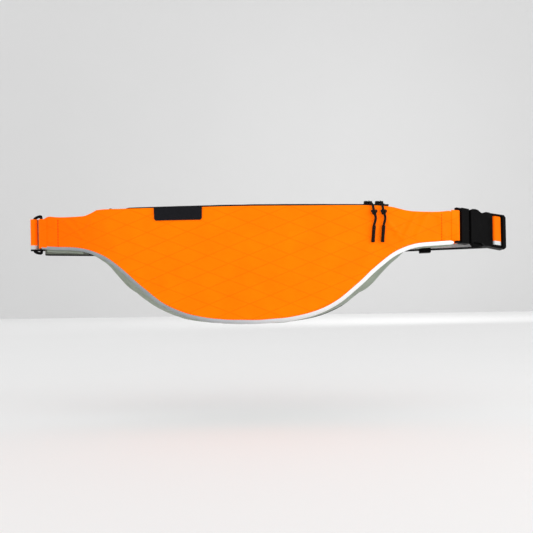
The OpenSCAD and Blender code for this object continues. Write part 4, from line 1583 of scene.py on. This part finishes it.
class PACK_OT_buckle(bpy.types.Operator):
    """Side-release buckle: frame, sprung arms with grip ribs and the socket"""
    bl_idname = "pack.buckle"
    bl_label = "Buckle"

    def execute(self, context):
        edge = sizes().mould_edge
        hard_part("male_buckle", edge, "buckle_frame", "pack")
        hard_part("female_buckle", edge * 1.1, "buckle_socket", "female_half")
        for name, way in (("top", 1), ("bottom", -1)):
            hard_part(f"buckle_arm_{name}", edge * 0.9, f"latch_{name}", f"arm_{name}")
            places = []
            for i in range(5):
                x = 25.2 + 2.1 * i
                rise = 24.6 + 0.7 * math.sin(math.radians(180 * (x - 23.5) / 11))
                places.append((x, 0, way * rise))
            ribs(places, (0.8, 4.0, 0.9), f"grip_{name}", f"arm_{name}")
        ribs([(x, -6.4, 0) for x in (46.5, 49.0, 51.5)], (0.9, 0.7, 30), "socket_ribs", "female_half")
        return {"FINISHED"}


class PACK_OT_hardware(bpy.types.Operator):
    """Keeper on the webbing and the ladder lock at the other wing"""
    bl_idname = "pack.hardware"
    bl_label = "Keeper and ladder lock"

    def execute(self, context):
        hard_part("strap_keeper", sizes().mould_edge * 0.8, "keeper_loop", "keeper")
        loop = [(13, -18.5), (13, -8), (13, 8), (13, 18.5), (11.6, 21.2), (8, 22.8), (4, 23.6), (1.2, 23.6),
                (0, 21.5), (0, 8), (0, -8), (0, -21.5), (1.2, -23.6), (4, -23.6), (8, -22.8), (11.6, -21.2)]
        loop = smooth_path([LADDER @ (Vector((x, 0, z)) * MM) for x, z in loop + loop[:1]], 4)[:-1]
        obj = as_mesh(tube(loop, 1.8 * MM, "loop", 5, closed=True))
        finish_piece(obj, "ladder_frame", "ladder", "buckle", ["ladder_lock"], angle=60)
        return {"FINISHED"}


# ---------------------------------------------------------------- webbing
def finish_webbing(obj, name, body, replaced, face):
    """Gives one side of a ribbon the face cloth and the other the plain reverse, by face(normal, centre)."""
    finish_piece(obj, name, body, "webbing", replaced)
    paint(obj, "webbing", "webbing_back")
    for p in obj.data.polygons:
        p.material_index = 0 if face(p.normal, p.center) else 1
    return obj


class PACK_OT_webbing(bpy.types.Operator):
    """Belt webbing: round the buckle's bar, behind the bag and round the ladder lock"""
    bl_idname = "pack.webbing"
    bl_label = "Webbing"

    def execute(self, context):
        self.buckle_end()
        self.behind()
        self.ladder_end()
        return {"FINISHED"}

    def buckle_end(self):
        path = [LEGS @ (Vector((x, 3.0 - 0.25 * math.sin((x + 118) / 104 * math.pi), 0)) * MM)
                for x in (-118, -116, -110, -98, -80, -60, -42, -28, -20, -14)]
        def turned(x, *degrees):
            return [(x + 2.45 * math.cos(a), 2.45 * math.sin(a)) for a in map(math.radians, degrees)]

        bar = [(55.6, 6.2), (57.5, 3.0), (58.9, 0.2), *turned(61.4, 205, 230, 250, 270), (65, -2.45)]
        bar += turned(68.6, -90, -60, -30, 0, 30, 60)
        path += [BUCKLE @ Vector((x * MM, y * MM, 0)) for x, y in bar]
        turn = path_lengths(path)
        path += [LEGS @ (Vector((x, 4.95 - 0.15 * math.sin(x / 133 * math.pi * 2), 0)) * MM)
                 for x in (0, -3, -8, -16, -30, -50, -75, -100, -120, -133)]
        path = smooth_path(path, 3)
        total = path_lengths(path)[-1]
        up_leg, up_bar = LEGS.to_3x3() @ Vector((0, 0, 1)), BUCKLE.to_3x3() @ Vector((0, 0, 1))

        def across(t):
            d = t * total
            at_bar = smooth((d - turn[8]) / 0.012) * (1 - smooth((d - turn[-1]) / 0.012))
            return up_leg.lerp(up_bar, at_bar)

        obj = ribbon(path, STRAP_W, STRAP_T, across, rows=16, step=1.1 * MM, wave=0.25 * MM)
        inner = LEGS.inverted()

        def face(normal, centre):
            """The face cloth shows in front of the first leg and round the bar."""
            p = inner @ centre
            back = (inner.to_3x3() @ normal).y
            return (back < 0) if p.y < 3.95 * MM else (back > 0)

        finish_webbing(obj, "belt_buckle_end", "female_half", ["strap_buckle_end"], face)
        path = [LEGS @ (Vector((x, 1.4, 0)) * MM) for x in (-118, -116, -114, -112.2)]
        hem = ribbon(path, STRAP_W, STRAP_T, lambda t: up_leg, rows=16, step=1.0 * MM)
        finish_webbing(hem, "belt_hem", "female_half", ["strap_buckle_end"],
                       lambda n, c: (inner.to_3x3() @ n).y < 0)
        rows = []
        front = LEGS.to_3x3() @ Vector((0, -1, 0))
        for x in (-116.6, -113.6):
            path = [LEGS @ Vector((x * MM, 0.62 * MM, z * MM)) for z in range(-18, 19, 2)]
            rows.append((path, [front] * len(path)))
        stitches("hem_stitches", rows, "female_half", "red", 2.4, 0.8, 0.5)

    def behind(self):
        """The strap behind the bag in two halves, which ride on no body."""
        start = LEGS @ (Vector((-134.2, 4.9, 0)) * MM)
        z = start.z
        end_y = LADDER.translation.y
        ladder_start = LADDER @ Vector((1.4 * MM, -7.4 * MM, 0))
        route = [start, start + Vector((-0.03, 0.004, 0)), Vector((0.09, 0.032, z)), Vector((0, 0.034, z)),
                 Vector((-0.09, 0.029, z)), Vector((-0.16, 0.014, z)), Vector((-0.215, end_y + 0.018, z)),
                 Vector((-0.2592, end_y + 0.0095, z + 0.0005)),
                 Vector((ladder_start.x, ladder_start.y, z + 0.001))]
        route = smooth_path(route, 8)
        middle = min(range(len(route)), key=lambda i: abs(route[i].x))
        up = Vector((0, 0, 1))
        right = ribbon(route[:middle + 1], STRAP_W, STRAP_T, lambda t: up, rows=12, wave=0.4 * MM)
        left = ribbon(route[middle:], STRAP_W, STRAP_T, lambda t: up, rows=12, wave=0.4 * MM)
        for obj, name in ((right, "belt_right"), (left, "belt_left")):
            finish_webbing(obj, name, None, ["rear_strap"], lambda n, c: n.y > 0)
        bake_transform(right)
        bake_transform(left)

    def ladder_end(self):
        path = [Vector((x * MM, -6.75 * MM, 0)) for x in (1, 4, 8, 11)]
        for a in (-75, -45, -15, 15, 45, 75, 105, 135, 165, 190, 215, 240):
            r = 3.75 if a < 200 else 3.5
            drop = 1.86 if a < -60 else 0
            turn = math.radians(a)
            path.append(Vector((13 + r * math.cos(turn), r * math.sin(turn) - drop, 0)) * MM)
        path += [Vector((x * MM, -5.05 * MM, 0)) for x in (9.2, 7, 5, 3.2)]
        path = smooth_path([LADDER @ p for p in path], 4)
        up = Vector((0, 0, 1))
        obj = ribbon(path, STRAP_W, STRAP_T, lambda t: up, rows=12, step=0.9 * MM)
        centre = LADDER @ Vector((13 * MM, 0, 0))
        finish_webbing(obj, "belt_ladder_end", "ladder", ["strap_ladder_end"],
                       lambda n, c: n.dot(c - centre) > 0)


# ---------------------------------------------------------------- panel and run
STEPS = (
    PACK_OT_stage, PACK_OT_cords, PACK_OT_pull_ends, PACK_OT_front_panel, PACK_OT_edge_strip, PACK_OT_label,
    PACK_OT_gusset, PACK_OT_back_padding, PACK_OT_wing_pads, PACK_OT_inside, PACK_OT_zip, PACK_OT_sliders,
    PACK_OT_buckle, PACK_OT_hardware, PACK_OT_webbing,
)


class PACK_PT_steps(bpy.types.Panel):
    """Lists the pieces of the waist pack"""
    bl_label = "Waist Pack"
    bl_space_type = "VIEW_3D"
    bl_region_type = "UI"
    bl_category = "Waist Pack"

    def draw(self, context):
        for group in (context.scene.pack_sizes, context.scene.pack_colours):
            for key in group.__annotations__:
                self.layout.prop(group, key)
        for step in STEPS:
            self.layout.operator(step.bl_idname)


CLASSES = (PackSizes, PackColours, *STEPS, PACK_PT_steps)


def register():
    for c in CLASSES:
        bpy.utils.register_class(c)
    bpy.types.Scene.pack_sizes = bpy.props.PointerProperty(type=PackSizes)
    bpy.types.Scene.pack_colours = bpy.props.PointerProperty(type=PackColours)


def unregister():
    del bpy.types.Scene.pack_colours
    del bpy.types.Scene.pack_sizes
    for c in reversed(CLASSES):
        bpy.utils.unregister_class(c)


def run_step(step):
    """Runs an operator by its name through bpy.ops."""
    group_name, name = step.bl_idname.split(".")
    getattr(getattr(bpy.ops, group_name), name)()


def main():
    register()
    for step in STEPS:
        run_step(step)
    bpy.context.view_layer.update()


if __name__ == "__main__":
    main()
